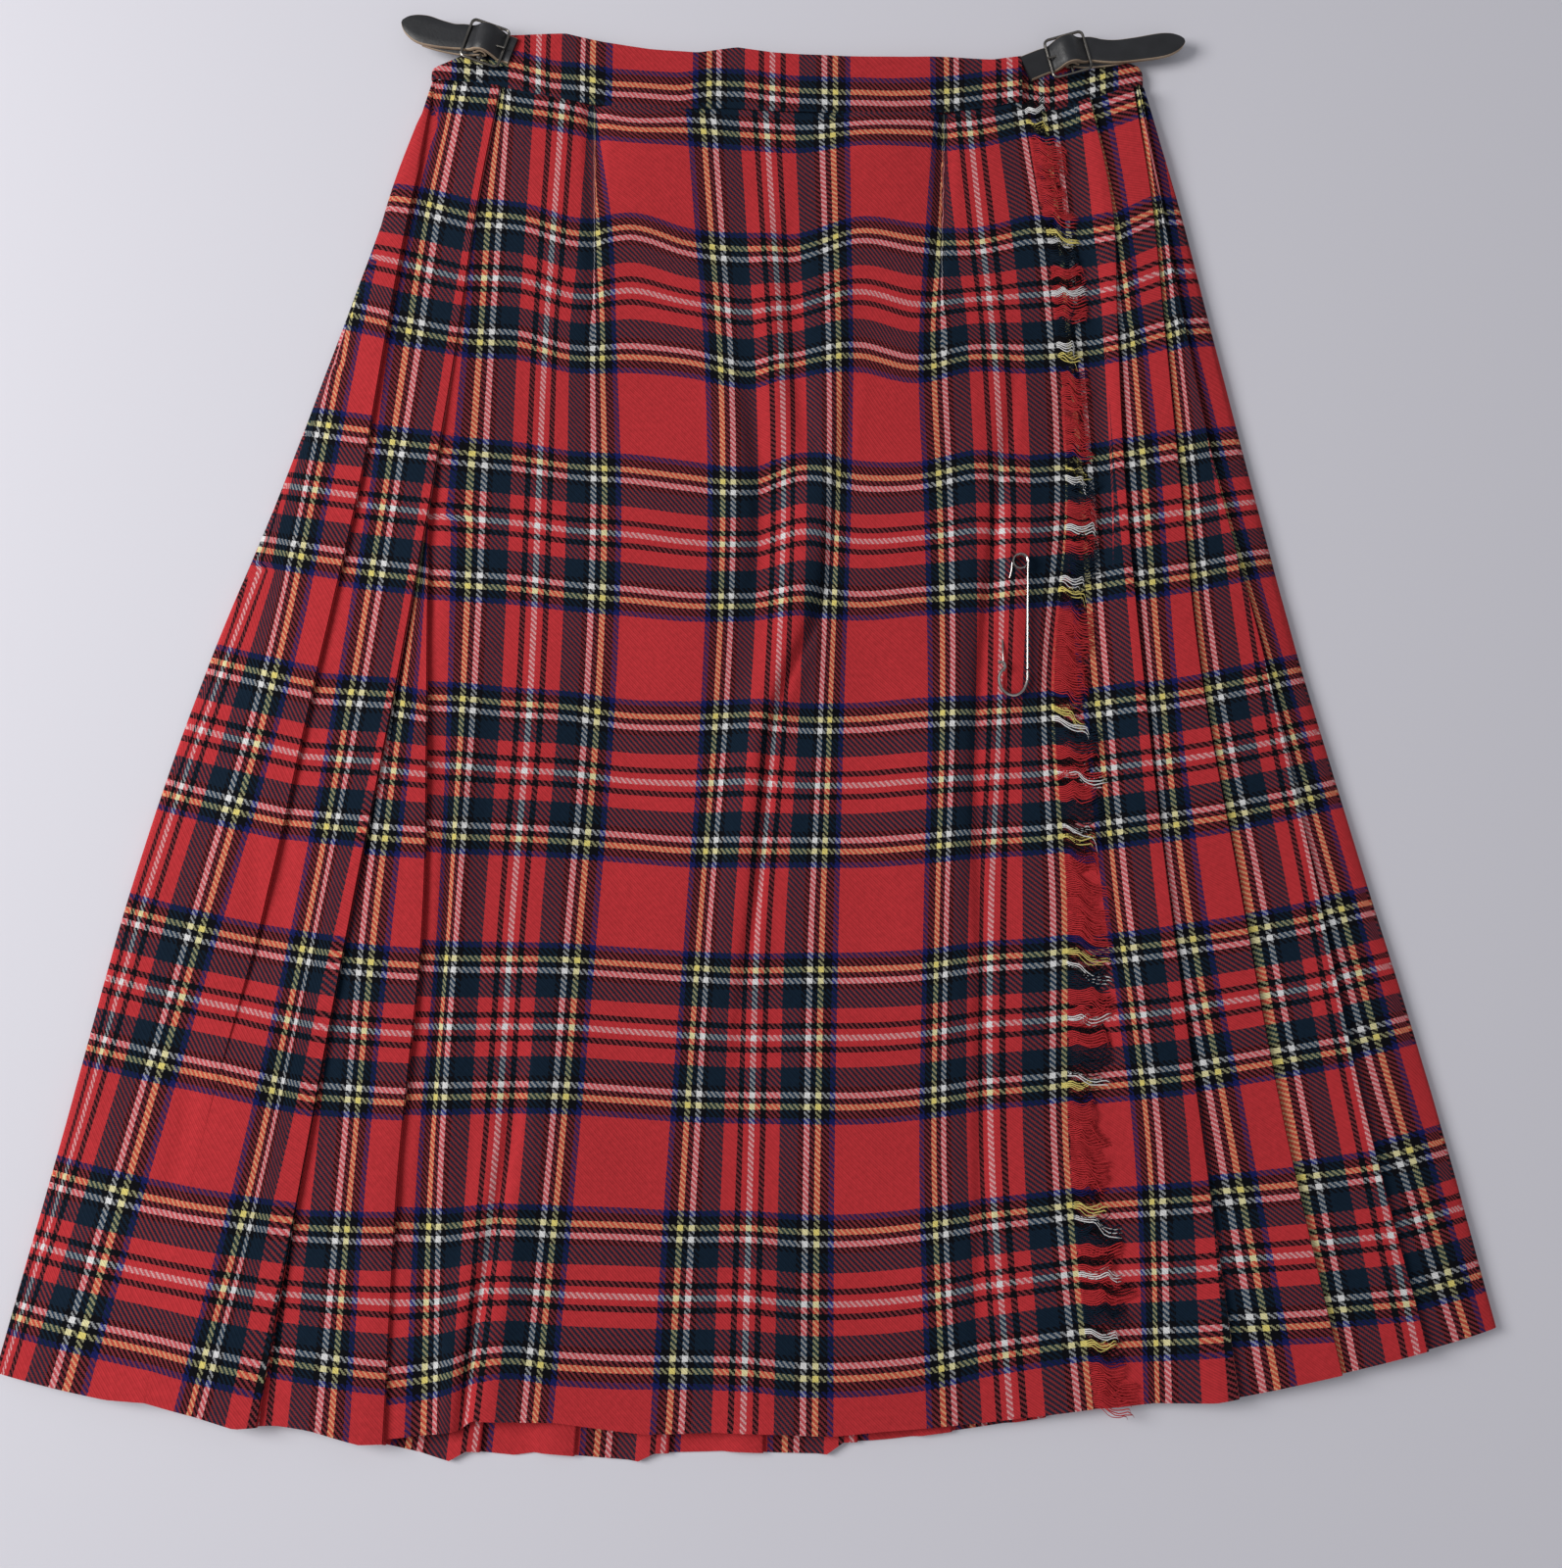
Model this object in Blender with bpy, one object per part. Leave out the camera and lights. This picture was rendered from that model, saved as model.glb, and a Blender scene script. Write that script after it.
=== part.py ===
"""A wrap kilt laid flat, seen from above: apron, knife pleats, waistband, fringe, straps and pin.

The waist points along +Y and the hem along -Y. The underside lies on Z = 0, and the origin is
the middle of the footprint. Lengths below are in millimetres; MM turns them into metres.
"""
import math

import bmesh
import bpy
import numpy as np
from mathutils import Matrix, Vector

MM = 0.001

# Cloth and the stack of layers, from the surface up
WALL = 1.2                      # one layer of the twill
GAP = 0.3                       # clearance between layers and at seams
PITCH = WALL + GAP
BACK_Z = WALL / 2               # middle of the back's outer faces
UNDER_Z = 5.2                   # middle of the under-apron
APRON_Z = 6.8                   # middle of the over-apron
EDGE_Z = 9.8                    # middle of the cloth at a front fold's edge
BAND_WALL = 2.0
BAND_BACK_Z = 1.0
BAND_UNDER_Z = 4.4
BAND_FRONT_Z = 7.6
SEAM_GAP = 0.5                  # clearance between the waistband and the skirt

# Skirt plan: the waist seam, the line that the stripes bow about, and each panel's length
SEAM_Y = 321.0
BOW_X = -63.0
LENGTH = {"pleats_left": 692.0, "over_apron": 683.0, "pleats_right": 689.0,
          "under_apron": 686.0, "pleats_back": 694.0}

# One row per level, waist to hem. The rises say how far the level curves up at the two sides.
LEVEL_COLUMNS = ("share", "left_x", "right_x", "rise_left", "rise_right")
LEVELS = (
    (0.0, -171.4, 213.6, 8.0, 8.0),
    (0.2, -213.4, 243.6, 14.0, 18.0),
    (0.4, -260.4, 271.2, 21.0, 29.0),
    (0.6, -301.4, 302.1, 28.0, 40.0),
    (0.8, -334.9, 338.6, 34.0, 49.0),
    (1.0, -368.0, 368.0, 39.0, 57.0),
)

# One row per front fold: the x of its edge at each of the levels above
FOLDS = {
    "left_a": (-161.4, -185.4, -210.4, -235.4, -266.4, -291.4),
    "left_b": (-137.4, -149.4, -172.4, -193.4, -215.4, -238.4),
    "left_c": (-125.4, -137.4, -163.4, -162.4, -171.4, -176.4),
    "right_a": (182.0, 196.0, 202.0, 212.0, 224.0, 234.6),
    "right_b": (193.0, 214.0, 229.0, 245.0, 263.0, 289.6),
    "right_c": (203.0, 228.0, 253.0, 279.0, 306.0, 334.6),
}
UNDERLAP = 0.3                  # cloth hidden behind a fold, as a share of the face beside it
LOW_Z = EDGE_Z - 2 * PITCH      # where a face starts, just beyond the fold over it
APRON_DROP = 0.3                # extra room between the last left fold and the apron under it
APRON_SETTLE = 12.0             # from that fold to where the apron lies level
UNDER_INSET = 14.0              # from that fold to the under-apron's edge
UNDER_STEPS = 7
RIGHT_JOIN = 5.0                # the under-apron turns into the right pleats inside the fringe

# The fringed edge of the over-apron: share of the length, x
ROOT_COLUMNS = ("share", "x")
ROOT = ((0.0, 148.0), (0.1, 157.0), (0.2, 163.0), (0.3, 166.0), (0.4, 163.0), (0.48, 154.7),
        (0.6, 157.5), (0.7, 161.0), (0.8, 160.0), (0.9, 162.0), (1.0, 168.6))
FRINGE_REACH = 21.0
FRINGE_CLEAR = 3.0              # from the fringe's tips to the foot of the first right fold
FRINGE_WALL = 1.6
FRINGE_Z = 7.2
FRINGE_TIP_DROP = 5.0

# Soft folds of the over-apron: share of length, x, height and half-width of the swell
CREASE_COLUMNS = ("share", "x", "height", "half_width")
RIDGE = ((0.2, 56.0, 0.0, 14.0), (0.3, 46.0, 2.4, 14.0), (0.4, 26.0, 3.0, 14.0),
         (0.5, 13.0, 3.0, 14.0), (0.6, 6.0, 2.4, 15.0), (0.7, -1.0, 1.2, 16.0),
         (0.8, -4.0, 0.0, 16.0))
ROLL_BY_PLEAT = ((0.4, -140.0, 0.0, 9.0), (0.5, -146.0, 1.4, 9.0), (0.7, -150.0, 1.8, 9.0),
                 (0.9, -148.0, 1.6, 9.0), (1.0, -137.0, 2.2, 8.0))
OVER_NEEDLE = ((0.30, 132.0, 0.0, 8.0), (0.35, 132.0, 1.9, 8.0), (0.46, 131.0, 1.9, 8.0),
               (0.50, 131.0, 0.0, 8.0))

# Shares of the length at which the panels have a section, and points across the apron
PLEAT_SHARES = tuple(row[LEVEL_COLUMNS.index("share")] for row in LEVELS)
APRON_SHARES = (0.0, 0.1, 0.2, 0.3, 0.35, 0.4, 0.46, 0.5, 0.6, 0.7, 0.8, 0.9, 1.0)
FRINGE_SHARES = (0.0, 0.1, 0.2, 0.3, 0.4, 0.5, 0.6, 0.7, 0.8, 0.9, 1.0)
APRON_STEPS = 44

# Back pleats: the first and the last fold as shares of the width, and how many there are
BACK_FOLDS = 14
BACK_FIRST = 0.0985
BACK_LAST = 0.911
BACK_RAMP = 6.0                 # where the cloth starts to climb over the next pleat
BACK_CREST = 1.0                # and where it has climbed, both before the fold
SIDE_TURN = 12.0                # where the side's turn meets the flat back
SIDE_RADIUS = 2.3

# Top edge of the waistband: x, y
BAND_TOP_COLUMNS = ("x", "y")
BAND_TOP_FRONT = ((-170.9, 344.5), (-150.0, 356.0), (-131.0, 365.0), (-100.0, 366.0),
                  (-79.0, 361.0), (-54.0, 357.0), (-28.5, 355.0), (-7.0, 358.0),
                  (12.0, 355.0), (50.0, 353.0), (98.0, 352.5), (131.0, 351.0), (146.0, 353.0))
BAND_TOP_UNDER = ((-118.0, 351.0), (60.0, 350.0), (150.0, 351.0), (209.0, 347.5),
                  (213.0, 338.0))
BAND_TOP_BACK = ((-170.0, 342.0), (-131.0, 352.0), (0.0, 350.0), (150.0, 350.0),
                 (212.0, 337.0))
BAND_SIDE = 1.5                 # from the side of the kilt to the middle of the band's turn

# Strap and buckle, in a frame whose u runs along the strap to its tip and w across it
STRAP_WALL = 1.6
STRAP_TOP = 9.5                 # above the strap's hump over the buckle
STRAP_COLUMNS = ("u", "w", "z", "width")
LEFT_STRAP = (
    (-15.0, -1.4, 1.1, 15.0), (-9.0, -1.6, 1.1, 15.5), (-6.0, -1.6, 3.9, 15.5),
    (-2.0, -1.4, 7.2, 15.5), (0.0, -1.3, 7.5, 15.5), (2.0, -1.2, 7.2, 15.5),
    (5.4, -0.9, 4.6, 15.0), (9.2, -0.5, 2.7, 14.5), (12.5, 0.0, 2.7, 14.3),
    (18.0, 1.5, 2.7, 14.2), (25.5, 2.4, 2.7, 15.4), (34.0, 2.6, 2.6, 16.4),
    (40.0, 2.2, 2.5, 13.6), (44.5, 1.8, 2.4, 8.6), (47.0, 1.6, 2.3, 3.0),
)
RIGHT_STRAP = (
    (-22.0, -1.6, 2.1, 14.5), (-14.0, 0.3, 1.1, 14.5), (-9.0, 0.6, 1.1, 15.0),
    (-6.0, 0.7, 3.9, 15.5), (-2.0, 0.9, 7.2, 15.5), (0.0, 1.0, 7.5, 15.5),
    (2.0, 1.0, 7.2, 15.5), (5.4, 0.8, 4.6, 15.0), (9.2, 0.7, 2.7, 14.4),
    (12.5, 0.3, 2.7, 13.8), (18.0, -2.0, 2.7, 13.0), (26.0, -4.4, 2.7, 13.0),
    (37.5, -5.9, 2.7, 13.4), (50.0, -6.8, 2.6, 13.8), (57.0, -7.0, 2.5, 11.4),
    (61.5, -7.0, 2.4, 6.8), (63.5, -7.0, 2.3, 3.0),
)
# Where each set sits: middle of the buckle, direction of u, surface it is sewn to. The chape
# is skewed sideways, because it shows beside the strap towards the hem.
FASTENINGS = {
    "left": {"x": -142.7, "y": 358.3, "turn": 162.0, "base": BAND_FRONT_Z + BAND_WALL / 2,
             "strap": LEFT_STRAP, "holes": (), "chape_end": 32.0, "chape_skew": 3.0},
    "right": {"x": 171.6, "y": 353.7, "turn": 14.0, "base": BAND_UNDER_Z + BAND_WALL / 2,
              "strap": RIGHT_STRAP, "holes": ((26.0, -4.4),), "chape_end": 36.0,
              "chape_skew": -3.0},
}
WIRE = 0.8                      # radius of the buckle's wire
FRAME_HALF = 10.4               # from the centre bar to either end bar
FRAME_WIDE = 11.0               # half the length of the bars
FRAME_CORNER = 2.4
BAR_RADIUS = 0.78               # centre bar, just under the wire so that the ends blend in
BAR_CLEAR = WIRE + 0.36         # bore of what turns on the centre bar
ROUND_STEPS = 12                # sides of a bored hole
FRAME_LOW = 3.0                 # height of the bar on the kilt's side
FRAME_HIGH = 4.6                # height of the bar on the tip's side
FRAME_MID = (FRAME_LOW + FRAME_HIGH) / 2
CHAPE_WALL = 1.2
CHAPE_HALF = 6.5
CHAPE_TAIL = 5.2                # where the sewn tail starts
CHAPE_FOOT = ((6.2, 0.6), (7.0, 1.2))
SLOT_HALF = 1.8
SLOT_START = -8.2
SLOT_END = -1.6
PRONG = 0.6
PRONG_HALF = 0.8                # half the width of the prong's ring
PRONG_KNEE = -5.0
HOLE_RADIUS = 1.1
OVERCUT = 1.0                   # how far a cutter runs past what it cuts

# Kilt pin: x, y, z along the wires
PIN_WIRE = 0.5
CLASP_WIRE = 0.8
PIN_Z = 10.1
COIL_CENTRE = (140.3, 72.3)
COIL_RADIUS = 3.9
COIL_TURNS = 2.5
COIL_STEPS = 12                 # points in one turn
COIL_RISE = 1.15                # height gained in one turn
COIL_ENTRY = 180.0              # direction from the coil's middle to where the needle joins it
NEEDLE = ((131.2, 14.6, 9.9), (130.8, 20.0, 9.9), (130.6, 25.0, 9.6), (130.8, 30.0, 8.2),
          (131.0, 34.0, 7.0), (131.8, 42.0, 6.75), (133.2, 52.0, 6.75), (134.4, 60.0, 7.0),
          (135.0, 64.0, 8.2), (135.9, 68.0, 9.6))
SPINE = ((144.1, 66.0, 11.2), (143.7, 40.0, 10.0), (143.2, 16.0, 9.9))
CLASP = ((143.1, 15.1, 9.9), (142.8, 10.0, 9.9), (140.6, 4.8, 10.0), (136.6, 2.2, 10.1),
         (132.4, 3.0, 10.2), (129.2, 6.4, 10.3), (128.2, 11.0, 10.7), (129.2, 14.2, 11.6),
         (131.3, 16.6, 11.9), (130.4, 19.2, 11.8), (128.0, 19.0, 11.2))
# Slits through which the needle passes: middle, half-length, turn in degrees
SLITS = ((130.8, 29.0, 9.0, -1.0), (135.0, 63.5, 8.0, -10.0))
SLIT_HALF = 1.0
SLIT_HEIGHT = 4.0

SHARP_ANGLE = math.radians(40.0)
TARTAN_RED = (0.30, 0.018, 0.022, 1.0)
TARTAN_DARK = (0.012, 0.018, 0.03, 1.0)
LEATHER_BLACK = (0.012, 0.012, 0.013, 1.0)
STEEL = (0.62, 0.60, 0.57, 1.0)


def clear_scene():
    for item in list(bpy.data.objects):
        bpy.data.objects.remove(item, do_unlink=True)


def material(name, colour, roughness, metallic=0.0):
    made = bpy.data.materials.new(name)
    made.use_nodes = True
    shader = made.node_tree.nodes["Principled BSDF"]
    shader.inputs["Base Color"].default_value = colour
    shader.inputs["Roughness"].default_value = roughness
    shader.inputs["Metallic"].default_value = metallic
    return made


def add_object(name, bm, look):
    """Make one closed object, in metres, from a bmesh in millimetres."""
    bmesh.ops.triangulate(bm, faces=bm.faces[:])
    bmesh.ops.recalc_face_normals(bm, faces=bm.faces[:])
    bmesh.ops.scale(bm, vec=(MM, MM, MM), verts=bm.verts[:])
    mesh = bpy.data.meshes.new(name)
    bm.to_mesh(mesh)
    bm.free()
    mesh.materials.append(look)
    made = bpy.data.objects.new(name, mesh)
    bpy.context.scene.collection.objects.link(made)
    return made


def boolean(target, cutter, operation):
    """Join a helper to an object, or cut it out, and drop the helper."""
    modifier = target.modifiers.new("boolean", "BOOLEAN")
    modifier.operation = operation
    modifier.solver = "EXACT"
    modifier.object = cutter
    depsgraph = bpy.context.evaluated_depsgraph_get()
    result = bpy.data.meshes.new_from_object(target.evaluated_get(depsgraph))
    target.modifiers.clear()
    target.data = result
    bpy.data.objects.remove(cutter, do_unlink=True)


def column(rows, columns, name):
    return [row[columns.index(name)] for row in rows]


def at_share(share, name):
    """A value from LEVELS at any share of the length."""
    return float(np.interp(share, column(LEVELS, LEVEL_COLUMNS, "share"),
                           column(LEVELS, LEVEL_COLUMNS, name)))


def fold_x(name, share):
    return float(np.interp(share, column(LEVELS, LEVEL_COLUMNS, "share"), FOLDS[name]))


def root_x(share):
    return float(np.interp(share, column(ROOT, ROOT_COLUMNS, "share"),
                           column(ROOT, ROOT_COLUMNS, "x")))


def level_y(x, share, length):
    """Height in plan of the level curve through x, for a panel of the given length."""
    side, rise = ("left_x", "rise_left") if x < BOW_X else ("right_x", "rise_right")
    across = (x - BOW_X) / (at_share(share, side) - BOW_X)
    return SEAM_Y - length * share + at_share(share, rise) * across ** 2


def swell(x, share, crease):
    """How far a soft fold lifts the cloth at a point."""
    shares = column(crease, CREASE_COLUMNS, "share")
    if not shares[0] <= share <= shares[-1]:
        return 0.0
    centre, height, half = (np.interp(share, shares, column(crease, CREASE_COLUMNS, name))
                            for name in ("x", "height", "half_width"))
    away = abs(x - centre) / half
    return float(height * 0.5 * (1.0 + math.cos(math.pi * min(away / 2.0, 1.0))))


def offset_path(path, distance):
    """Shift a path of (x, z) points sideways, mitred at its corners."""
    shifted = []
    for index, point in enumerate(path):
        here = Vector(point)
        normals = []
        for other in (index - 1, index + 1):
            if 0 <= other < len(path):
                along = (here - Vector(path[other])) * (1 if other < index else -1)
                along.normalize()
                normals.append(Vector((-along.y, along.x)))
        if len(normals) == 2:
            mitre = (normals[0] + normals[1]) / (1.0 + normals[0].dot(normals[1]))
        else:
            mitre = normals[0]
        shifted.append(here + mitre * distance)
    return shifted


def walled_sheet(name, levels, thickness, look):
    """A wall of cloth: each level is a path of (x, z) points and a function from x to y."""
    bm = bmesh.new()
    rings = []
    for path, height in levels:
        upper = offset_path(path, thickness / 2)
        lower = offset_path(path, -thickness / 2)
        ring = upper + lower[::-1]
        rings.append([bm.verts.new((p.x, height(p.x), p.y)) for p in ring])
    count = len(rings[0])
    for first, second in zip(rings, rings[1:]):
        for index in range(count):
            after = (index + 1) % count
            bm.faces.new((first[index], first[after], second[after], second[index]))
    for ring in (rings[0], rings[-1]):
        for index in range(count // 2 - 1):
            bm.faces.new((ring[index], ring[index + 1],
                          ring[count - 2 - index], ring[count - 1 - index]))
    return add_object(name, bm, look)


def shingle(start, edge, last=False):
    """A front face from its low start up to its folded edge, and the cloth hidden behind it."""
    slope = (edge[1] - start[1]) / (edge[0] - start[0])
    back = UNDERLAP * (edge[0] - start[0])
    drop = slope * back
    path = [start, edge, (edge[0], edge[1] - PITCH), (edge[0] - back, edge[1] - PITCH - drop)]
    if not last:
        path.append((edge[0] - back, edge[1] - 2 * PITCH - drop))
    return path


def hidden_start(start, edge):
    """Where the next panel's cloth begins behind a fold."""
    slope = (edge[1] - start[1]) / (edge[0] - start[0])
    back = UNDERLAP * (edge[0] - start[0])
    return (edge[0] - back, edge[1] - 2 * PITCH - slope * back)


def side_turn(side_x, inward):
    """The rounded turn at a side, from the flat back up to the front."""
    middle = side_x + inward * (WALL / 2 + SIDE_RADIUS)
    points = [(side_x + inward * SIDE_TURN, BACK_Z)]
    for degrees in (-90, -45, 0, 45, 90):
        angle = math.radians(degrees)
        points.append((middle - inward * SIDE_RADIUS * math.cos(angle),
                       BACK_Z + SIDE_RADIUS + SIDE_RADIUS * math.sin(angle)))
    return points


def pleats_left_path(share):
    turn = side_turn(at_share(share, "left_x"), 1)
    path = turn[:-1]
    start = turn[-1]
    for name in ("left_a", "left_b", "left_c"):
        edge = (fold_x(name, share), EDGE_Z)
        path += shingle(start, edge, last=name == "left_c")
        start = (edge[0], LOW_Z)
    return path


def apron_start(share):
    start = (fold_x("left_b", share), LOW_Z)
    edge = (fold_x("left_c", share), EDGE_Z)
    behind = hidden_start(start, edge)
    return (behind[0], behind[1] - APRON_DROP), (edge[0], LOW_Z - APRON_DROP)


def over_apron_path(share):
    behind, beyond = apron_start(share)
    path = [behind, beyond]
    for x in np.linspace(beyond[0] + APRON_SETTLE, root_x(share), APRON_STEPS):
        lift = sum(swell(x, share, crease) for crease in (RIDGE, ROLL_BY_PLEAT, OVER_NEEDLE))
        path.append((float(x), APRON_Z + lift))
    return path


def under_apron_path(share):
    first = fold_x("left_c", share) + UNDER_INSET
    last = root_x(share) - RIGHT_JOIN - 2 * GAP
    return [(float(x), UNDER_Z) for x in np.linspace(first, last, UNDER_STEPS)]


def pleats_right_path(share):
    start = (root_x(share) + FRINGE_REACH + FRINGE_CLEAR, UNDER_Z)
    path = [(root_x(share) - RIGHT_JOIN, UNDER_Z)]
    for name in ("right_a", "right_b", "right_c"):
        edge = (fold_x(name, share), EDGE_Z)
        path += shingle(start, edge)
        start = (edge[0], LOW_Z)
    path.append(start)
    return path + side_turn(at_share(share, "right_x"), -1)[::-1]


def pleats_back_path(share):
    left, right = at_share(share, "left_x"), at_share(share, "right_x")
    path = [(left + SIDE_TURN + GAP, BACK_Z)]
    shares = np.linspace(BACK_FIRST, BACK_LAST, BACK_FOLDS)
    spacing = (shares[1] - shares[0]) * (right - left)
    behind = UNDERLAP * spacing
    for fold in shares:
        x = float(left + fold * (right - left))
        path += [(x - BACK_RAMP, BACK_Z), (x - BACK_CREST, BACK_Z + 2 * PITCH),
                 (x + behind, BACK_Z + 2 * PITCH), (x + behind, BACK_Z + PITCH),
                 (x, BACK_Z + PITCH), (x, BACK_Z)]
    return path + [(right - SIDE_TURN - GAP, BACK_Z)]


def skirt_panel(name, path_at, shares, look):
    length = LENGTH[name]
    levels = [(path_at(share), lambda x, s=share: level_y(x, s, length)) for share in shares]
    return walled_sheet(name, levels, WALL, look)


def make_skirt(looks):
    skirt_panel("pleats_back", pleats_back_path, PLEAT_SHARES, looks["dark"])
    skirt_panel("under_apron", under_apron_path, PLEAT_SHARES, looks["dark"])
    skirt_panel("pleats_left", pleats_left_path, PLEAT_SHARES, looks["red"])
    skirt_panel("pleats_right", pleats_right_path, PLEAT_SHARES, looks["red"])
    apron = skirt_panel("over_apron", over_apron_path, APRON_SHARES, looks["red"])
    for slit in SLITS:
        boolean(apron, needle_slit(*slit, looks["red"]), "DIFFERENCE")


def needle_slit(x, y, half_length, turn, look):
    """A box round the stretch of the needle that passes through the apron."""
    bm = bmesh.new()
    bmesh.ops.create_cube(bm, size=2.0)
    size = Matrix.Diagonal((SLIT_HALF, half_length, SLIT_HEIGHT, 1.0))
    bm.transform(Matrix.Translation((x, y, APRON_Z)) @ Matrix.Rotation(math.radians(turn), 4, "Z")
                 @ size)
    return add_object("slit", bm, look)


def make_fringe(look):
    """The fringe's plain solid: its reach beyond the apron's edge, from waist to hem."""
    levels = []
    for share in FRINGE_SHARES:
        start = root_x(share) + GAP
        path = [(start, FRINGE_Z), (start + FRINGE_REACH / 2, FRINGE_Z),
                (start + FRINGE_REACH - GAP, FRINGE_Z)]
        drop = FRINGE_TIP_DROP if share == 1.0 else 0.0

        def height(x, s=share, fall=drop, first=start):
            return level_y(x, s, LENGTH["over_apron"]) - fall * (x - first) / FRINGE_REACH
        levels.append((path, height))
    walled_sheet("apron_fringe", levels, FRINGE_WALL, look)


def make_band(name, path, top, look):
    """A length of waistband: its lower edge follows the waist seam."""
    left, right = at_share(0.0, "left_x"), at_share(0.0, "right_x")

    def lower(x):
        return level_y(min(max(x, left), right), 0.0, LENGTH["over_apron"]) + SEAM_GAP

    def upper(x):
        return float(np.interp(x, column(top, BAND_TOP_COLUMNS, "x"),
                               column(top, BAND_TOP_COLUMNS, "y")))
    walled_sheet(name, [(path, lower), (path, upper)], BAND_WALL, look)


def make_waistband(look):
    left, right = at_share(0.0, "left_x"), at_share(0.0, "right_x")
    front = [(x, BAND_FRONT_Z) for x in column(BAND_TOP_FRONT, BAND_TOP_COLUMNS, "x")[1:]]
    turn = [(left + BAND_SIDE, BAND_BACK_Z + BAND_WALL / 2 + GAP),
            (left + BAND_SIDE, BAND_FRONT_Z)]
    make_band("waistband_front", turn + front, BAND_TOP_FRONT, look)
    under = [(x, BAND_UNDER_Z) for x in column(BAND_TOP_UNDER, BAND_TOP_COLUMNS, "x")[:-1]]
    turn = [(right - BAND_SIDE, BAND_UNDER_Z),
            (right - BAND_SIDE, BAND_BACK_Z + BAND_WALL / 2 + GAP)]
    make_band("waistband_under", under + turn, BAND_TOP_UNDER, look)
    back = [(x, BAND_BACK_Z) for x in column(BAND_TOP_BACK, BAND_TOP_COLUMNS, "x")]
    make_band("waistband_back", back, BAND_TOP_BACK, look)


def ribbon(name, rows, thickness, look):
    """A strap of leather through stations of u, w, z and width."""
    bm = bmesh.new()
    rings = []
    points = [Vector(place) for place in zip(*(column(rows, STRAP_COLUMNS, name)
                                               for name in ("u", "w", "z")))]
    for index, width in enumerate(column(rows, STRAP_COLUMNS, "width")):
        before = points[max(index - 1, 0)]
        after = points[min(index + 1, len(points) - 1)]
        along = (after - before).normalized()
        across = Vector((-along.y, along.x, 0.0)).normalized()
        up = along.cross(across)
        half, rise = across * width / 2, up * thickness / 2
        corners = (half + rise, -half + rise, -half - rise, half - rise)
        rings.append([bm.verts.new(points[index] + corner) for corner in corners])
    for first, second in zip(rings, rings[1:]):
        for index in range(4):
            after = (index + 1) % 4
            bm.faces.new((first[index], first[after], second[after], second[index]))
    bm.faces.new(rings[0])
    bm.faces.new(rings[-1])
    return add_object(name, bm, look)


def smooth_route(points, steps):
    """A smooth curve through a few points, as Catmull-Rom stretches."""
    route = []
    for index in range(len(points) - 1):
        before = Vector(points[max(index - 1, 0)])
        start, end = Vector(points[index]), Vector(points[index + 1])
        after = Vector(points[min(index + 2, len(points) - 1)])
        for step in range(steps):
            t = step / steps
            route.append(0.5 * (2 * start + (end - before) * t
                                + (2 * before - 5 * start + 4 * end - after) * t ** 2
                                + (3 * start - before - 3 * end + after) * t ** 3))
    route.append(Vector(points[-1]))
    return route


def tube(name, route, radius, look, closed=False, sides=8):
    """A round wire along a route."""
    bm = bmesh.new()
    count = len(route)
    rings = []
    side = None
    for index in range(count):
        if closed:
            along = route[(index + 1) % count] - route[index - 1]
        else:
            along = route[min(index + 1, count - 1)] - route[max(index - 1, 0)]
        along.normalize()
        if side is None:
            side = Vector((0.0, 0.0, 1.0))
        side = (side - along * side.dot(along)).normalized()
        other = along.cross(side)
        ring = []
        for turn in range(sides):
            angle = 2 * math.pi * turn / sides
            ring.append(bm.verts.new(route[index] + radius
                                     * (side * math.cos(angle) + other * math.sin(angle))))
        rings.append(ring)
    pairs = list(zip(rings, rings[1:]))
    if closed:
        pairs.append((rings[-1], rings[0]))
    else:
        bm.faces.new(rings[0])
        bm.faces.new(rings[-1])
    for first, second in pairs:
        for index in range(sides):
            after = (index + 1) % sides
            bm.faces.new((first[index], first[after], second[after], second[index]))
    return add_object(name, bm, look)


def prism(name, outline, low, high, look):
    """A flat outline of (u, z) points, extruded across the strap."""
    bm = bmesh.new()
    near = [bm.verts.new((u, low, z)) for u, z in outline]
    far = [bm.verts.new((u, high, z)) for u, z in outline]
    bm.faces.new(near)
    bm.faces.new(far)
    for index in range(len(outline)):
        after = (index + 1) % len(outline)
        bm.faces.new((near[index], near[after], far[after], far[index]))
    return add_object(name, bm, look)


def upright(start, end, low, high):
    """A rectangle of (u, z) points."""
    return ((start, low), (end, low), (end, high), (start, high))


def arc(centre, radius, start, end, steps):
    angles = [math.radians(start + (end - start) * step / steps) for step in range(steps + 1)]
    return [(centre[0] + radius * math.cos(a), centre[1] + radius * math.sin(a))
            for a in angles]


def circle(centre, radius):
    return arc(centre, radius, 0, 360, ROUND_STEPS)[:-1]


def chape_ear(name, low, high, look):
    """One side of the loop that holds the centre bar: open towards the tip, then sewn down."""
    centre = (0.0, FRAME_MID)
    outline = arc(centre, BAR_CLEAR + CHAPE_WALL, 75, 285, 8) + list(CHAPE_FOOT)
    body = prism(name, outline, low, high, look)
    hole = prism("bar_hole", circle(centre, BAR_CLEAR), low - OVERCUT, high + OVERCUT, look)
    boolean(body, hole, "DIFFERENCE")
    return body


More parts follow.
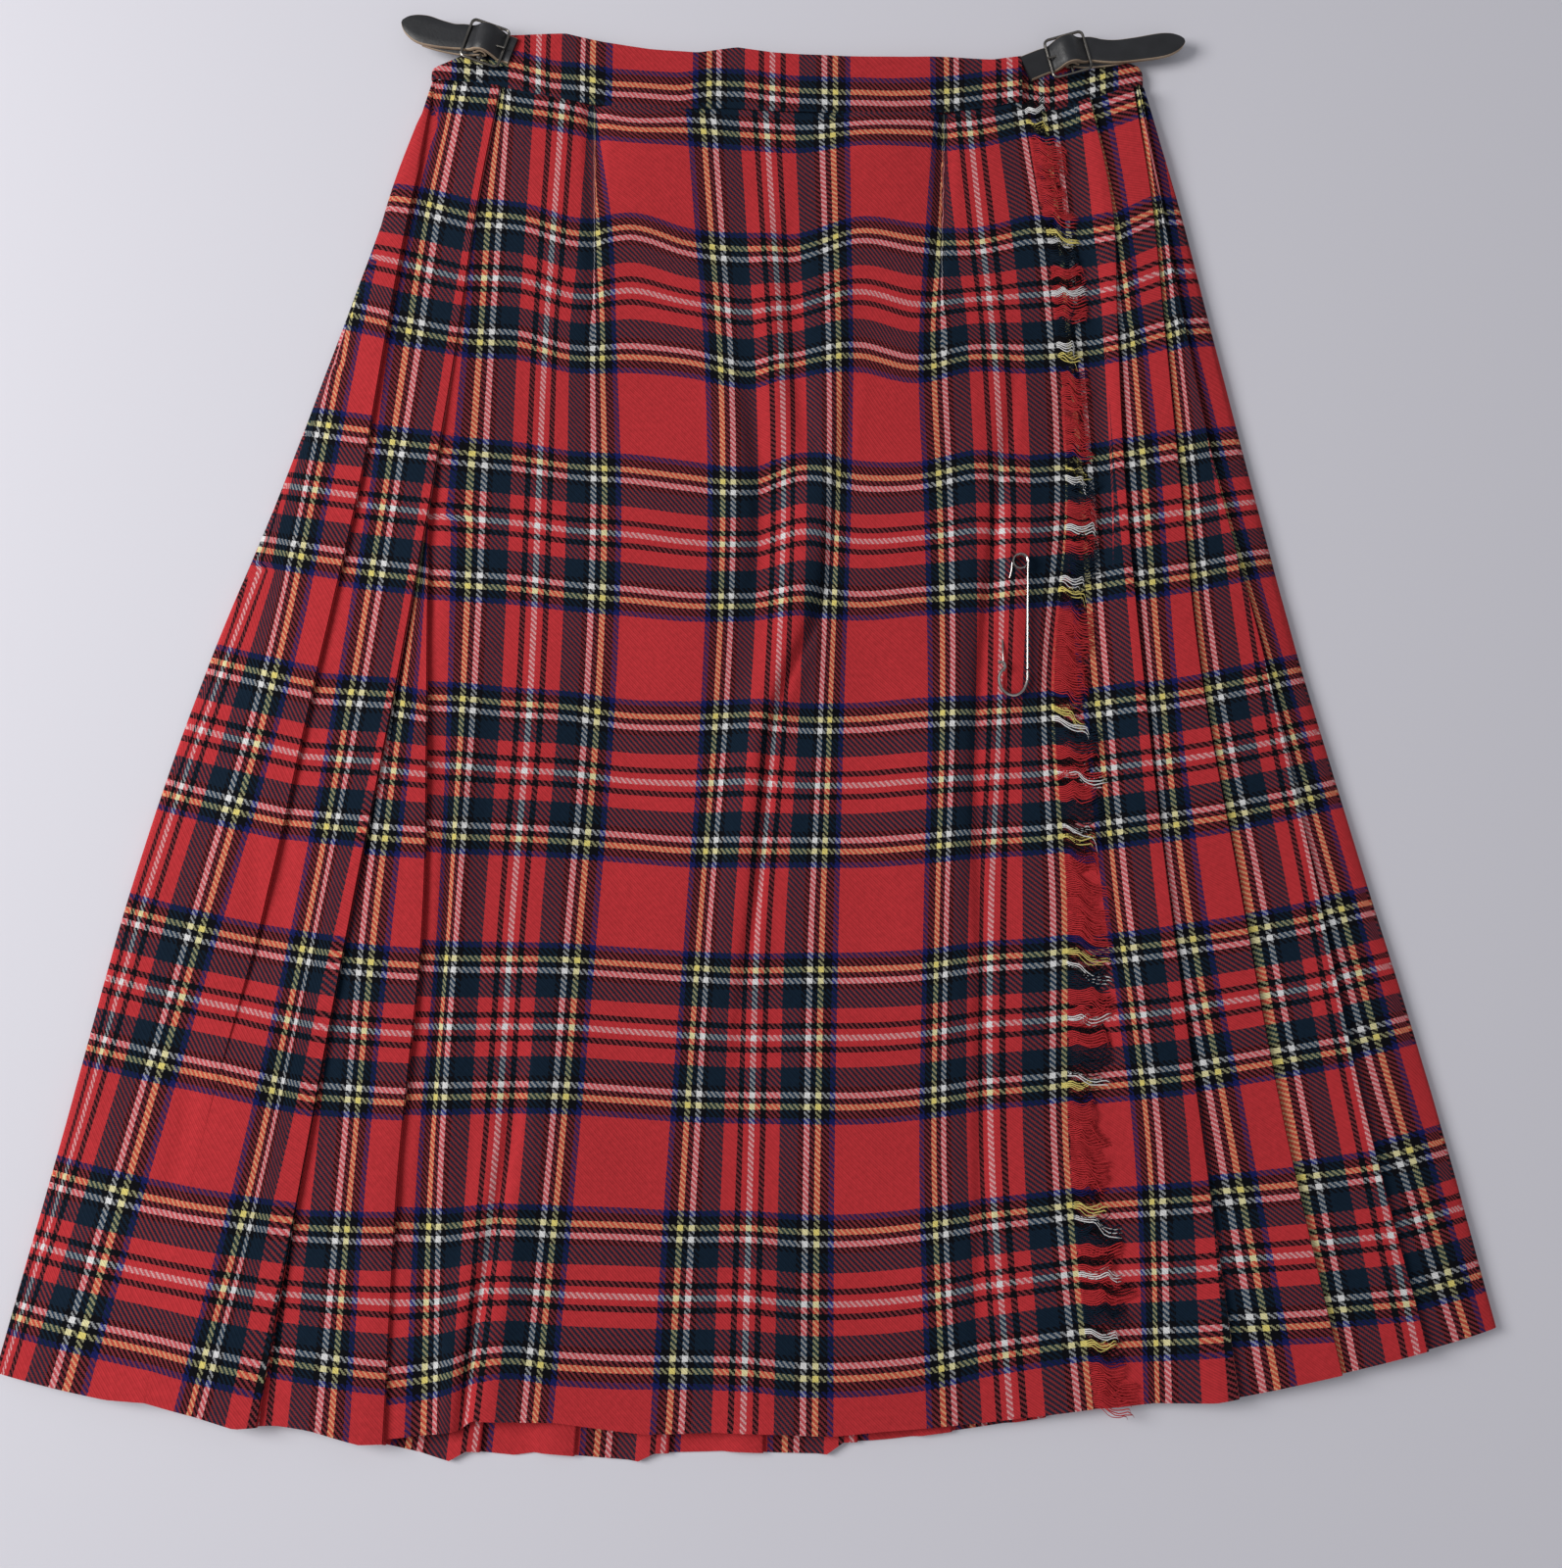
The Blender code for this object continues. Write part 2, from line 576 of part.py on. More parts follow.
def frame_route():
    """The buckle's rounded rectangle, lower on the kilt's side."""
    flat = []
    for sign_u, sign_w, start in ((1, 1, 0), (-1, 1, 90), (-1, -1, 180), (1, -1, 270)):
        centre = (sign_u * (FRAME_HALF - FRAME_CORNER), sign_w * (FRAME_WIDE - FRAME_CORNER))
        flat += arc(centre, FRAME_CORNER, start, start + 90, 4)
    tilt = (FRAME_HIGH - FRAME_LOW) / (2 * FRAME_HALF)
    return [Vector((u, w, FRAME_MID + tilt * u)) for u, w in flat]


def make_fastening(side, spec, looks):
    """One strap, buckle, prong and chape, made in the strap's frame and then put in place."""
    leather, steel = looks["leather"], looks["steel"]
    strap = ribbon(f"strap_{side}", spec["strap"], STRAP_WALL, leather)
    slot = prism("prong_slot", upright(SLOT_START, SLOT_END, 0.0, STRAP_TOP),
                 -SLOT_HALF, SLOT_HALF, leather)
    boolean(strap, slot, "DIFFERENCE")
    for u, w in spec["holes"]:
        punch = tube("punch", [Vector((u, w, 0.0)), Vector((u, w, STRAP_TOP))], HOLE_RADIUS,
                     leather)
        boolean(strap, punch, "DIFFERENCE")

    tail = upright(CHAPE_TAIL, spec["chape_end"], GAP, GAP + CHAPE_WALL)
    skew = spec["chape_skew"]
    chape = prism(f"chape_{side}", tail, skew - CHAPE_HALF, skew + CHAPE_HALF, leather)
    for low, high in ((-CHAPE_HALF, -SLOT_HALF), (SLOT_HALF, CHAPE_HALF)):
        boolean(chape, chape_ear("ear", low, high, leather), "UNION")

    frame = tube(f"buckle_{side}", frame_route(), WIRE, steel, closed=True)
    bar = tube("bar", [Vector((0.0, -FRAME_WIDE, FRAME_MID)),
                       Vector((0.0, FRAME_WIDE, FRAME_MID))], BAR_RADIUS, steel)
    boolean(frame, bar, "UNION")

    middle = (0.0, FRAME_MID)
    prong = prism(f"prong_{side}", circle(middle, BAR_CLEAR + PRONG), -PRONG_HALF, PRONG_HALF,
                  steel)
    bore = prism("bore", circle(middle, BAR_CLEAR), -PRONG_HALF - OVERCUT,
                 PRONG_HALF + OVERCUT, steel)
    boolean(prong, bore, "DIFFERENCE")
    rest = FRAME_LOW + WIRE + GAP + PRONG
    rod = tube("rod", [Vector((-BAR_CLEAR - PRONG / 2, 0.0, FRAME_MID + GAP)),
                       Vector((PRONG_KNEE, 0.0, rest)),
                       Vector((-FRAME_HALF - WIRE, 0.0, rest))], PRONG, steel)
    boolean(prong, rod, "UNION")

    place = (Matrix.Translation(Vector((spec["x"], spec["y"], spec["base"])) * MM)
             @ Matrix.Rotation(math.radians(spec["turn"]), 4, "Z"))
    for made in (strap, chape, frame, prong):
        made.data.transform(place)


def make_pin(steel):
    """The kilt pin: needle, coil and spine in one wire, and the clasp crimped to its end."""
    route = smooth_route(NEEDLE, 4)
    for step in range(int(COIL_TURNS * COIL_STEPS) + 1):
        turns = step / COIL_STEPS
        angle = math.radians(COIL_ENTRY - 360.0 * turns)
        route.append(Vector((COIL_CENTRE[0] + COIL_RADIUS * math.cos(angle),
                             COIL_CENTRE[1] + COIL_RADIUS * math.sin(angle),
                             PIN_Z + COIL_RISE * turns)))
    route += smooth_route(SPINE, 3)
    tube("kilt_pin", route, PIN_WIRE, steel)
    tube("kilt_pin_clasp", smooth_route(CLASP, 3), CLASP_WIRE, steel)


def main():
    clear_scene()
    looks = {
        "red": material("tartan_front", TARTAN_RED, 0.85),
        "dark": material("tartan_under", TARTAN_DARK, 0.85),
        "band": material("tartan_band", TARTAN_RED, 0.85),
        "fringe": material("fringe_yarn", TARTAN_RED, 0.9),
        "leather": material("black_leather", LEATHER_BLACK, 0.45),
        "steel": material("steel_wire", STEEL, 0.25, 1.0),
    }
    make_skirt(looks)
    make_fringe(looks["fringe"])
    make_waistband(looks["band"])
    for side, spec in FASTENINGS.items():
        make_fastening(side, spec, looks)
    make_pin(looks["steel"])
    for made in bpy.data.objects:
        made.data.shade_smooth()
        made.data.set_sharp_from_angle(angle=SHARP_ANGLE)


main()
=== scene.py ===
"""Looks of the tartan kilt, laid flat and seen from above. Sizes are in millimetres."""
import math
from collections import namedtuple

import bpy
import numpy as np
from mathutils import Matrix, Vector, noise


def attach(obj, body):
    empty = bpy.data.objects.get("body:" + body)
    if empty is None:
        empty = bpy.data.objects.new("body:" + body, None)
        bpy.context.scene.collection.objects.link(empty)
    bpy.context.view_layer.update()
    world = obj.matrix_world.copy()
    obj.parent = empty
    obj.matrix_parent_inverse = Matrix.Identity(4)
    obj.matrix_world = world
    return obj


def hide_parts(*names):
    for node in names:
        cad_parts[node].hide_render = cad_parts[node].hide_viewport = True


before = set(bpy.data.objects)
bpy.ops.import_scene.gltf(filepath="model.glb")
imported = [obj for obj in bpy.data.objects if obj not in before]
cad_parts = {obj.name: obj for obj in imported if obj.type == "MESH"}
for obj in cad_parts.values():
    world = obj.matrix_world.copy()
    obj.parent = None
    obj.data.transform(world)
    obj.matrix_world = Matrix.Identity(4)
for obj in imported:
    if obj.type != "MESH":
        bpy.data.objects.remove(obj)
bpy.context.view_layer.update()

MM = 0.001
THREAD = 0.708  # width of one warp thread
WEFT_THREAD = 0.722  # height of one weft thread
SETT = 180.0  # threads in one repeat
HALF = SETT / 2  # threads from one mirror line of the pattern to the next
FIRST_WEFT = -145.0  # weft thread at the waist seam
WALL = 1.2
LAYER = 1.5  # from one layer of cloth to the next
TURN = LAYER / 2  # radius of a folded edge
EDGE_TURN = (65, 40, 15, -15, -40, -65)  # degrees at which a folded edge gets its points

# The skirt's frame: curves of equal distance from the waist, bowed up at the sides
SEAM_Y = 321.0
BOW_X = -63.0
LENGTH = 690.0
LEVEL_SHARES = (0.0, 0.2, 0.4, 0.6, 0.8, 1.0)
LEFT_X = (-171.4, -213.4, -260.4, -301.4, -334.9, -368.0)
RIGHT_X = (213.6, 243.6, 271.2, 302.1, 338.6, 368.0)
LEFT_RISE = (8.0, 14.0, 21.0, 28.0, 34.0, 39.0)
RIGHT_RISE = (8.0, 18.0, 29.0, 40.0, 49.0, 57.0)

# Where the seam and the hems lie, as distances along the length: (x, distance)
SEAM = (
    (-172, -12.5), (-151, -13), (-128, -11), (-107, -8), (-88, -5), (-61, -2.2), (-14, -2.4),
    (13, -0.5), (45, 1.2), (82, 2.8), (108, 2.6), (130, 0.5), (143, -2), (160, 3.5), (177, 0.4),
    (194, -4.3), (214, -8))
HEM_APRON = (
    (-176, 690), (-162, 687.3), (-139, 682.4), (-133, 677.5), (-119, 677.7), (-93, 677.2), (-49, 682.3),
    (-16, 682), (16, 684.2), (42, 686.6), (66, 686), (168, 686.8))
HEM_LEFT = (
    (-368, 692.4), (-311, 691.3), (-292, 688.8), (-267, 690.6), (-248, 693.4), (-229, 689.3),
    (-212, 689.3), (-188, 692.9), (-163, 690.1))
HEM_RIGHT = (
    (168, 687), (180, 688.1), (199, 688.7), (228, 693.1), (240, 693), (289, 692), (368, 689.2))
HEM_BACK = (
    (-368, 690), (-200, 691), (-161, 695.5), (-152, 698), (-145, 698.5), (-143.4, 694), (-132, 693.4),
    (-110, 694.6), (-103, 692.5), (-81, 693.8), (-52, 696), (-50, 692.3), (-8, 692.3), (39, 695.9),
    (41, 690.6), (65, 691.4), (161, 688.1), (368, 689))

# Stripes and folds, as x at these shares of the length
SHARES = (0.0, 0.1, 0.2, 0.32, 0.48, 0.64, 0.82, 1.0)
TRACK = {
    "left": (-171.4, -193, -214.5, -241, -279, -311, -339, -368),
    "fold_a": (-171.0, -181, -191, -202.3, -222.6, -243, -270, -292),
    "fold_b": (-135, -146, -154.2, -165.2, -182, -200, -219, -237.6),
    "fold_c": (-150, -160, -168, -168, -165, -164, -172.8, -176.4),
    "root": (148.8, 157.6, 163.4, 166.3, 157, 161.3, 160.2, 168.9),
    "fold_1": (182.5, 193, 194, 195.7, 202.3, 211.5, 225, 238.5),
    "fold_2": (206, 214, 218.5, 223.7, 231.6, 247, 265.5, 289),
    "fold_3": (209, 219, 229, 242, 264.5, 284.4, 305, 331.6),
    "right": (213.6, 230, 244, 260.6, 283.7, 310, 341, 368),
}
# Warp stripes: threads from the middle of the apron's left red block, then x at SHARES
APRON_WARPS = (
    (-129, (-130.5, -133.4, -136.3, -138.5, -141.1, -146.5, -151.7, -150.6)),
    (-90, (-101, -104.5, -107.9, -109.9, -112.3, -119, -125.2, -136.7)),
    (-31, (-84, -73.5, -70.2, -66.7, -68.7, -75.8, -84.6, -94.3)),
    (31, (-34.7, -29.3, -23.9, -21.7, -24.6, -31.7, -40.2, -47.2)),
    (90, (8.3, 12.5, 16.7, 18.1, 14, 5, 1.4, -1.9)),
    (149, (53.5, 54.2, 54.8, 53.2, 48.9, 45.7, 43, 42)),
    (211, (99, 93.5, 89.2, 91, 91.9, 88.4, 85.1, 87.3)),
    (270, (117.2, 123.1, 129, 131.9, 129, 122.5, 120.9, 128.1)),
    (309, (144.6, 153.9, 159.4, 161, 151.5, 154, 152.2, 161.2)),
)
# The two darts below the waist: x at SHARES, and the stripes on either side
DARTS = (
    ((-84.3, -83.5, -82.6, -81, -79, -78, -76, -74), -90.0, -31.0),
    ((105.2, 103.2, 101.2, 99, 97, 95, 93, 91), 211.0, 270.0),
)
# The faces between the folds: the threads at the left and right edge at SHARES, and stripes
# between them, each with its x at the last of the SHARES
Face = namedtuple("Face", "edges first last between")
FACES = {
    "left_1": Face(
        ("left", "fold_a"),
        (-341, -378, -407, -435, -467, -463, -464, -456),
        (-341, -366, -372, -371, -372, -365, -359, -354),
        ((-450, (-234, -270.5, -301.6, -331.2, -365.6)),
         (-411, (-216.7, -229.9, -249.5, -275.4, -306.1, -338)),
         (-391, (-191.7, -203.4, -216.1, -234.6, -260.6, -290, -320)))),
    "left_2": Face(
        ("fold_a", "fold_b"),
        (-340.6, -333, -331, -336, -345, -353, -358, -353),
        (-282, -282.6, -283.5, -284, -285, -285.7, -281, -276),
        ((-313, (-157, -168.8, -176.6, -186.3, -200.7, -217.3, -239.2, -267.4)),
         (-290, (-139.5, -149.1, -158.7, -169.6, -185.4, -206, -229.2, -252.3)))),
    "left_3": Face(
        ("fold_b", "fold_c"),
        (-228, -228, -228, -228, -230, -241, -257.5, -269),
        (-210, -210, -210, -210, -203.6, -190.7, -187.9, -190),
        ((-227, (-179.4, -190.6, -197.6, -204.5)),
         (-211, (-169.6, -178.5, -187.9, -192.3)))),
    "right_0": Face(
        ("root", "fold_1"),
        (28, 30, 34, 32, 14, 8, -10, -5),
        (80, 79, 78, 76.4, 75.7, 79.6, 79.6, 84),
        ((31, (171, 179.7, 191.8, 193.6)),
         (47, (161, 167.2, 171.7, 176.5, 181.5, 188.5, 200.8, 202)),
         (70, (177, 182.8, 187.5, 191.5, 197.7, 205, 217.8, 220.5)))),
    "right_1": Face(
        ("fold_1", "fold_2"),
        (137, 134, 124, 122, 121.5, 124.4, 119.5, 115),
        (160, 160, 160, 161, 165, 169, 173.6, 178),
        ((133, (199.7, 203.3, 208.8, 217.7, 236.1, 254.7)),
         (149, (192.3, 201.5, 208.1, 214.7, 219.6, 229.2, 248.3, 267.6)))),
    "right_2": Face(
        ("fold_2", "fold_3"),
        (218, 218, 218, 218, 218.5, 219.3, 220.2, 221),
        (222, 230, 240, 252, 268, 271, 271, 277),
        ((227, (223.7, 229.9, 237.7, 254.8, 274.1, 293.4)),)),
    "right_3": Face(
        ("fold_3", "right"),
        (322, 322, 321, 317, 310, 304, 297, 290),
        (327, 333, 340, 345, 347, 348.5, 348, 338),
        ((329, (233, 250, 275, 302, 331, 362)),)),
}

# How far the weft stripes sag below the even curves: (share, then sag at each x)
SAG_X = (-175, -152, -122, -92, -62, -32, -2, 28, 58, 88, 118, 148)
SAG = (
    (0.00, (-12, -11.5, -7.5, -4, 2.5, 1, 3.5, 6, 6, 6, 6.5, 1)),
    (0.10, (-8, -8.5, -8.8, -2, -6, 3.5, 6.5, 6.5, -1.5, 4, 8, 3)),
    (0.20, (-8, -5.5, -6.5, -0.5, -1.5, 1.5, 8.5, 3, 0.5, 8.8, 5, 7.5)),
    (0.29, (-7, -7, -6.5, -3.5, -2, 2, 6, -1, 5, 7, 3.5, 8.5)),
    (0.39, (-4, -4, -4.5, -2.5, -0.5, 3, 4, 2, 6, 6, 6.5, 7)),
    (0.48, (-5.5, -6.8, -6.5, -6, -2, -0.8, -1, 2.5, 4, 4, 5.5, 7)),
    (0.58, (-4, -3.5, -4.7, -4.5, -2.7, 0, 1.2, 2.5, 4.5, 5, 5.5, 7.3)),
    (0.67, (-3.5, -4.5, -6.4, -7.3, -5.6, -3.4, -1, 0, 1.7, 2.7, 1.7, 3.4)),
    (0.77, (-1.5, -3.5, -6.2, -7.2, -5.7, -3.4, -1.7, 0, 2, 2, 0.7, 1.7)),
    (0.86, (-1.6, -3, -8.2, -8, -7.5, -5.9, -5.2, -1.5, 0, -0.5, -2, -2)),
    (0.95, (5, 0.5, -9.5, -7.3, -6.2, -5.6, -4, 0, 1.5, 1, -2, -3)),
)
SAG_SHARES = tuple(row[0] for row in SAG)
# The same for each face between folds: sag at its left and right edge, at SAG_SHARES
FACE_SAG = {
    "left_1": ((-13, -12, -12, -11.5, -7.5, -7, -2.2, -2, 1.6, 3, 5.6),
               (-12, -11, -8.5, -11.5, -7.5, -4.6, 0.5, -0.5, 1.6, 2.8, 5.6)),
    "left_2": ((-12, -13, -8, -7.8, -4.6, -2.2, 0, -0.4, 1.5, 2.7, 5.6),
               (-11, -7, -5, -7.8, -4.6, -5, -2, -0.4, 4.5, 1.4, 8.5)),
    "left_3": ((-11, -7, -5, -7, -4.5, -1.8, 1.2, 2, 3.3, 5.1, 1.4),
               (-11, -7, -5, -7, -4, -0.3, 0.2, 0.5, 0.7, 0, 1.4)),
    "right_0": ((7.3, 5, 7, 4.5, 7, 7.5, 8.5, 5.5, 4.5, -0.5, -1),
                (0, 5.5, 7.3, 4.9, 7.5, 8.5, 10, 7.4, 7.5, 4.7, 5.5)),
    "right_1": ((0.4, 5.5, 7, 4.7, 9.3, 9.4, 10.2, 7, 7, 2.6, 1.8),
                (-4.8, -2, 2, 3.6, 9.4, 9.9, 11, 8.5, 7.7, 6.6, 8.1)),
    "right_2": ((-5, -2, 2.8, 5.5, 9.4, 9.2, 10.5, 8, 8, 4, 2.5),
                (-6, -2.3, 0.9, 4.7, 8.7, 8.5, 10.5, 8.3, 9.4, 7.1, 7.8)),
    "right_3": ((-6, -2.3, 0.9, 4.7, 7.6, 8, 10, 7.2, 6.6, 3.3, 3.9),
                (-6.5, -2.3, 0.9, 4.7, 7.6, 7.5, 9.5, 7.2, 6.6, 3.3, 3.9)),
}

# Threads where the over-apron comes out from beneath the last left fold, and at fold B
APRON_STARTS = (-150, -151, -156, -163, -164, -163, -164, -162)
APRON_AT_FOLD_B = (-142, -146, -153, -158, -161, -163, -164, -162)

# Heights of the middles of the layers
BACK_Z = 0.6
BACK_LAYER = 1.1
HIDDEN_WALL = 1.0
UNDER_Z = 3.95
ROOT_Z = 5.2
APRON_Z = 6.8
EDGE_Z = 9.8
SIDE_RADIUS = 2.3
SIDE_SHIFT = 2.6  # how far the rounded side draws the cloth next to it inwards
RISE = 3.0  # how far a face rises from one fold to the next
OPEN_WIDTH = 1.2  # width over which the hidden cloth of an open crease lies
COVERED = 18.0  # how far the fringe covers the first right face

# Soft creases: (share, x, height, half width), a negative height is a trough
APRON_CREASES = (
    ((0.2, 46, 0, 13), (0.3, 37, 3.2, 11), (0.4, 25, 4.2, 10), (0.5, 5, 4.2, 9),
     (0.6, -4, 3.0, 10), (0.7, -10, 1.8, 12), (0.8, -12, 0, 14)),
    ((0.18, 57, 0, 4), (0.27, 49.5, -1.6, 4), (0.35, 43, -2.2, 3.6), (0.4, 37, -2.8, 3.2),
     (0.46, 18.5, -3.2, 2.8), (0.5, 11.5, -3.2, 2.8), (0.55, 8.5, -2.8, 2.8),
     (0.6, 6, -2.4, 2.8), (0.69, -2.5, -1.6, 3), (0.79, -6, 0, 4)),
    ((0.06, 20, 0, 8), (0.12, 22, -1.5, 6), (0.2, 24.5, -1.6, 5), (0.26, 30, -1.4, 5),
     (0.33, 36, 0, 6)),
    ((0.06, 8, 0, 8), (0.14, 10, 1.6, 7), (0.22, 14, 1.8, 6), (0.3, 20, 0, 7)),
    ((0.1, 42, 0, 10), (0.17, 44, 1.4, 9), (0.24, 50, 0, 10)),
    ((0.18, -3, 0, 5), (0.25, 2, -1.4, 4.5), (0.31, 6, -1.6, 4), (0.36, 5, -1.6, 4),
     (0.43, -2, 0, 5)),
    ((0.18, -16, 0, 10), (0.26, -10, 1.8, 8), (0.34, -7, 1.8, 8), (0.42, -14, 0, 10)),
    ((0.2, 142, 0, 3), (0.27, 137, -1.8, 2.8), (0.32, 131, -2.6, 2.5), (0.39, 125, -2.6, 2.5),
     (0.45, 120.5, -2.2, 2.6), (0.53, 116.5, -1.7, 3), (0.6, 117, -1.5, 3), (0.7, 118, -1.5, 3.2),
     (0.8, 116.5, -1.6, 3.4), (0.9, 114.5, -1.6, 3.6), (0.97, 113, 0, 5)),
    ((0.22, 122, 0, 8), (0.32, 118, 1.8, 7), (0.45, 109, 1.8, 7), (0.7, 106, 1.4, 8),
     (0.97, 103, 0, 9)),
    ((0.37, 161, 0, 2.5), (0.41, 158, -0.9, 2.4), (0.46, 154, -0.9, 2.4), (0.52, 151, 0, 3)),
    ((0.4, -140, 0, 9), (0.5, -146, 1.4, 8), (0.7, -149, 1.6, 8), (0.9, -148, 1.2, 8),
     (1.0, -140, 1.6, 8)),
    ((0.48, -154.5, 0, 4), (0.55, -154, -1.6, 3.5), (0.6, -152.5, -2.2, 3.5),
     (0.72, -155, -2.0, 3.5), (0.83, -159, -1.2, 4), (0.92, -159.4, 0, 4)),
    ((0.72, -112, 0, 4), (0.78, -116, -1.6, 3.2), (0.86, -124, -2.4, 3),
     (0.93, -132, -2.8, 3), (1.0, -138, -2.8, 3.2)),
    ((0.72, -102, 0, 8), (0.85, -114, 1.8, 7), (1.0, -127, 2.0, 7)),
    ((0.78, -126, 0, 6), (0.86, -133, 1.2, 5.5), (1.0, -148, 1.6, 6)),
    ((0.0, -84.3, -2.6, 4), (0.05, -83.5, -2.4, 4), (0.1, -83, -1.8, 3.5), (0.17, -83.5, -1.0, 3.5),
     (0.22, -83.5, 0, 4)),
    ((0.0, 105.2, -2.6, 4), (0.05, 104, -2.4, 4), (0.1, 102.4, -1.8, 3.5), (0.15, 97, -1.4, 3.5),
     (0.24, 99, 0, 4)),
    ((0.0, -60, 1.6, 18), (0.12, -60, 0, 20)),
    ((0.0, 75, 1.6, 20), (0.15, 75, 0, 22)),
    ((0.0, -110, 1.2, 14), (0.14, -112, 0, 16)),
    ((0.62, -123, 0, 6), (0.7, -121, -0.8, 6), (0.8, -115, -0.8, 6), (0.87, -110, 0, 6)),
    ((0.25, 96, 0, 20), (0.45, 92, 1.3, 18), (0.7, 94, 1.0, 18), (0.95, 94, 0, 20)),
    ((0.3, -70, 0, 24), (0.5, -72, -1.0, 20), (0.75, -60, -0.9, 22), (0.95, -62, 0.6, 22)),
    ((0.3, 141, 0, 7), (0.36, 140, 1.6, 6), (0.45, 137, 1.6, 6), (0.52, 135, 0, 7)),
)
LEFT_CREASES = (
    ((0.48, -252, 0, 5), (0.62, -248.4, -0.7, 4), (0.75, -252, 0, 5)),
    ((0.5, -238, 0, 5), (0.62, -235, -0.6, 4), (0.72, -240, 0, 5)),
    ((0.72, -272, 0, 5), (0.79, -277.4, -1.0, 4), (0.85, -283.5, -0.9, 4), (0.92, -290, 0, 5)),
    ((0.55, -330, 0, 22), (0.75, -325, 1.2, 20), (1.0, -338, 0.8, 20)),
    ((0.72, -168, 0, 4), (0.8, -168.5, -0.9, 4), (1.0, -177, -0.9, 4)),
)
RIGHT_CREASES = (
    ((0.05, 191, 0, 4), (0.08, 192, -0.8, 3), (0.12, 194, 0, 4)),
    ((0.5, 185, 0, 10), (0.7, 190, 0.8, 12), (0.95, 205, 0, 12)),
)


def curve(position, knots, values):
    """A smooth curve through the knots, with straight ends."""
    position = np.asarray(position, dtype=float)
    knots = np.asarray(knots, dtype=float)
    values = np.asarray(values, dtype=float)
    slopes = np.gradient(values, knots)
    index = np.clip(np.searchsorted(knots, position) - 1, 0, len(knots) - 2)
    width = knots[index + 1] - knots[index]
    t = np.clip((position - knots[index]) / width, 0.0, 1.0)
    beyond = np.where(position < knots[0], (position - knots[0]) * slopes[0],
                      np.where(position > knots[-1], (position - knots[-1]) * slopes[-1], 0.0))
    low, high = values[index], values[index + 1]
    rise, fall = slopes[index] * width, slopes[index + 1] * width
    return (low * (2 * t ** 3 - 3 * t ** 2 + 1) + rise * (t ** 3 - 2 * t ** 2 + t)
            + high * (3 * t ** 2 - 2 * t ** 3) + fall * (t ** 3 - t ** 2) + beyond)


def at_share(values, share):
    """Values given at SHARES, read at any share of the length."""
    return float(curve(share, SHARES, values))


def track(name, share):
    return at_share(TRACK[name], share)


def table(rows, x):
    return np.interp(x, [row[0] for row in rows], [row[1] for row in rows])


def level_y(x, share):
    """Height in plan of the curve of equal distance from the waist through x."""
    x = np.asarray(x, dtype=float)
    share = np.asarray(share, dtype=float)
    left = (x - BOW_X) / (np.interp(share, LEVEL_SHARES, LEFT_X) - BOW_X)
    right = (x - BOW_X) / (np.interp(share, LEVEL_SHARES, RIGHT_X) - BOW_X)
    rise = np.where(x < BOW_X, curve(share, LEVEL_SHARES, LEFT_RISE) * left ** 2,
                    curve(share, LEVEL_SHARES, RIGHT_RISE) * right ** 2)
    return SEAM_Y - LENGTH * share + rise


def weft_at(share, sag):
    """Weft threads counted from a white stripe's middle, growing towards the hem."""
    return (LENGTH * share - sag) / WEFT_THREAD + FIRST_WEFT


def apron_sag(x, share):
    """How far the over-apron's weft stripes sag at each x and share."""
    rows = np.array([curve(np.clip(x, SAG_X[0], SAG_X[-1]), SAG_X, row[1]) for row in SAG])
    return np.array([curve(s, SAG_SHARES, rows[:, i]) for i, s in enumerate(share)])


def smooth_step(value):
    value = min(max(value, 0.0), 1.0)
    return value * value * (3.0 - 2.0 * value)


def relief(x, share, creases):
    """Height that the soft creases add at each x of one level."""
    lift = np.zeros(len(x))
    for crease in creases:
        shares = [row[0] for row in crease]
        if not shares[0] <= share <= shares[-1]:
            continue
        centre, height, half = (float(curve(share, shares, [row[i] for row in crease]))
                                for i in (1, 2, 3))
        away = np.minimum(np.abs(x - centre) / half / 2.0, 1.0)
        lift += height * 0.5 * (1.0 + np.cos(math.pi * away))
    return lift


def ripple(x, y, seed, size, height):
    """Gentle unevenness of cloth that isn't pressed."""
    return height * noise.noise(Vector((x / size, y / size, seed)))


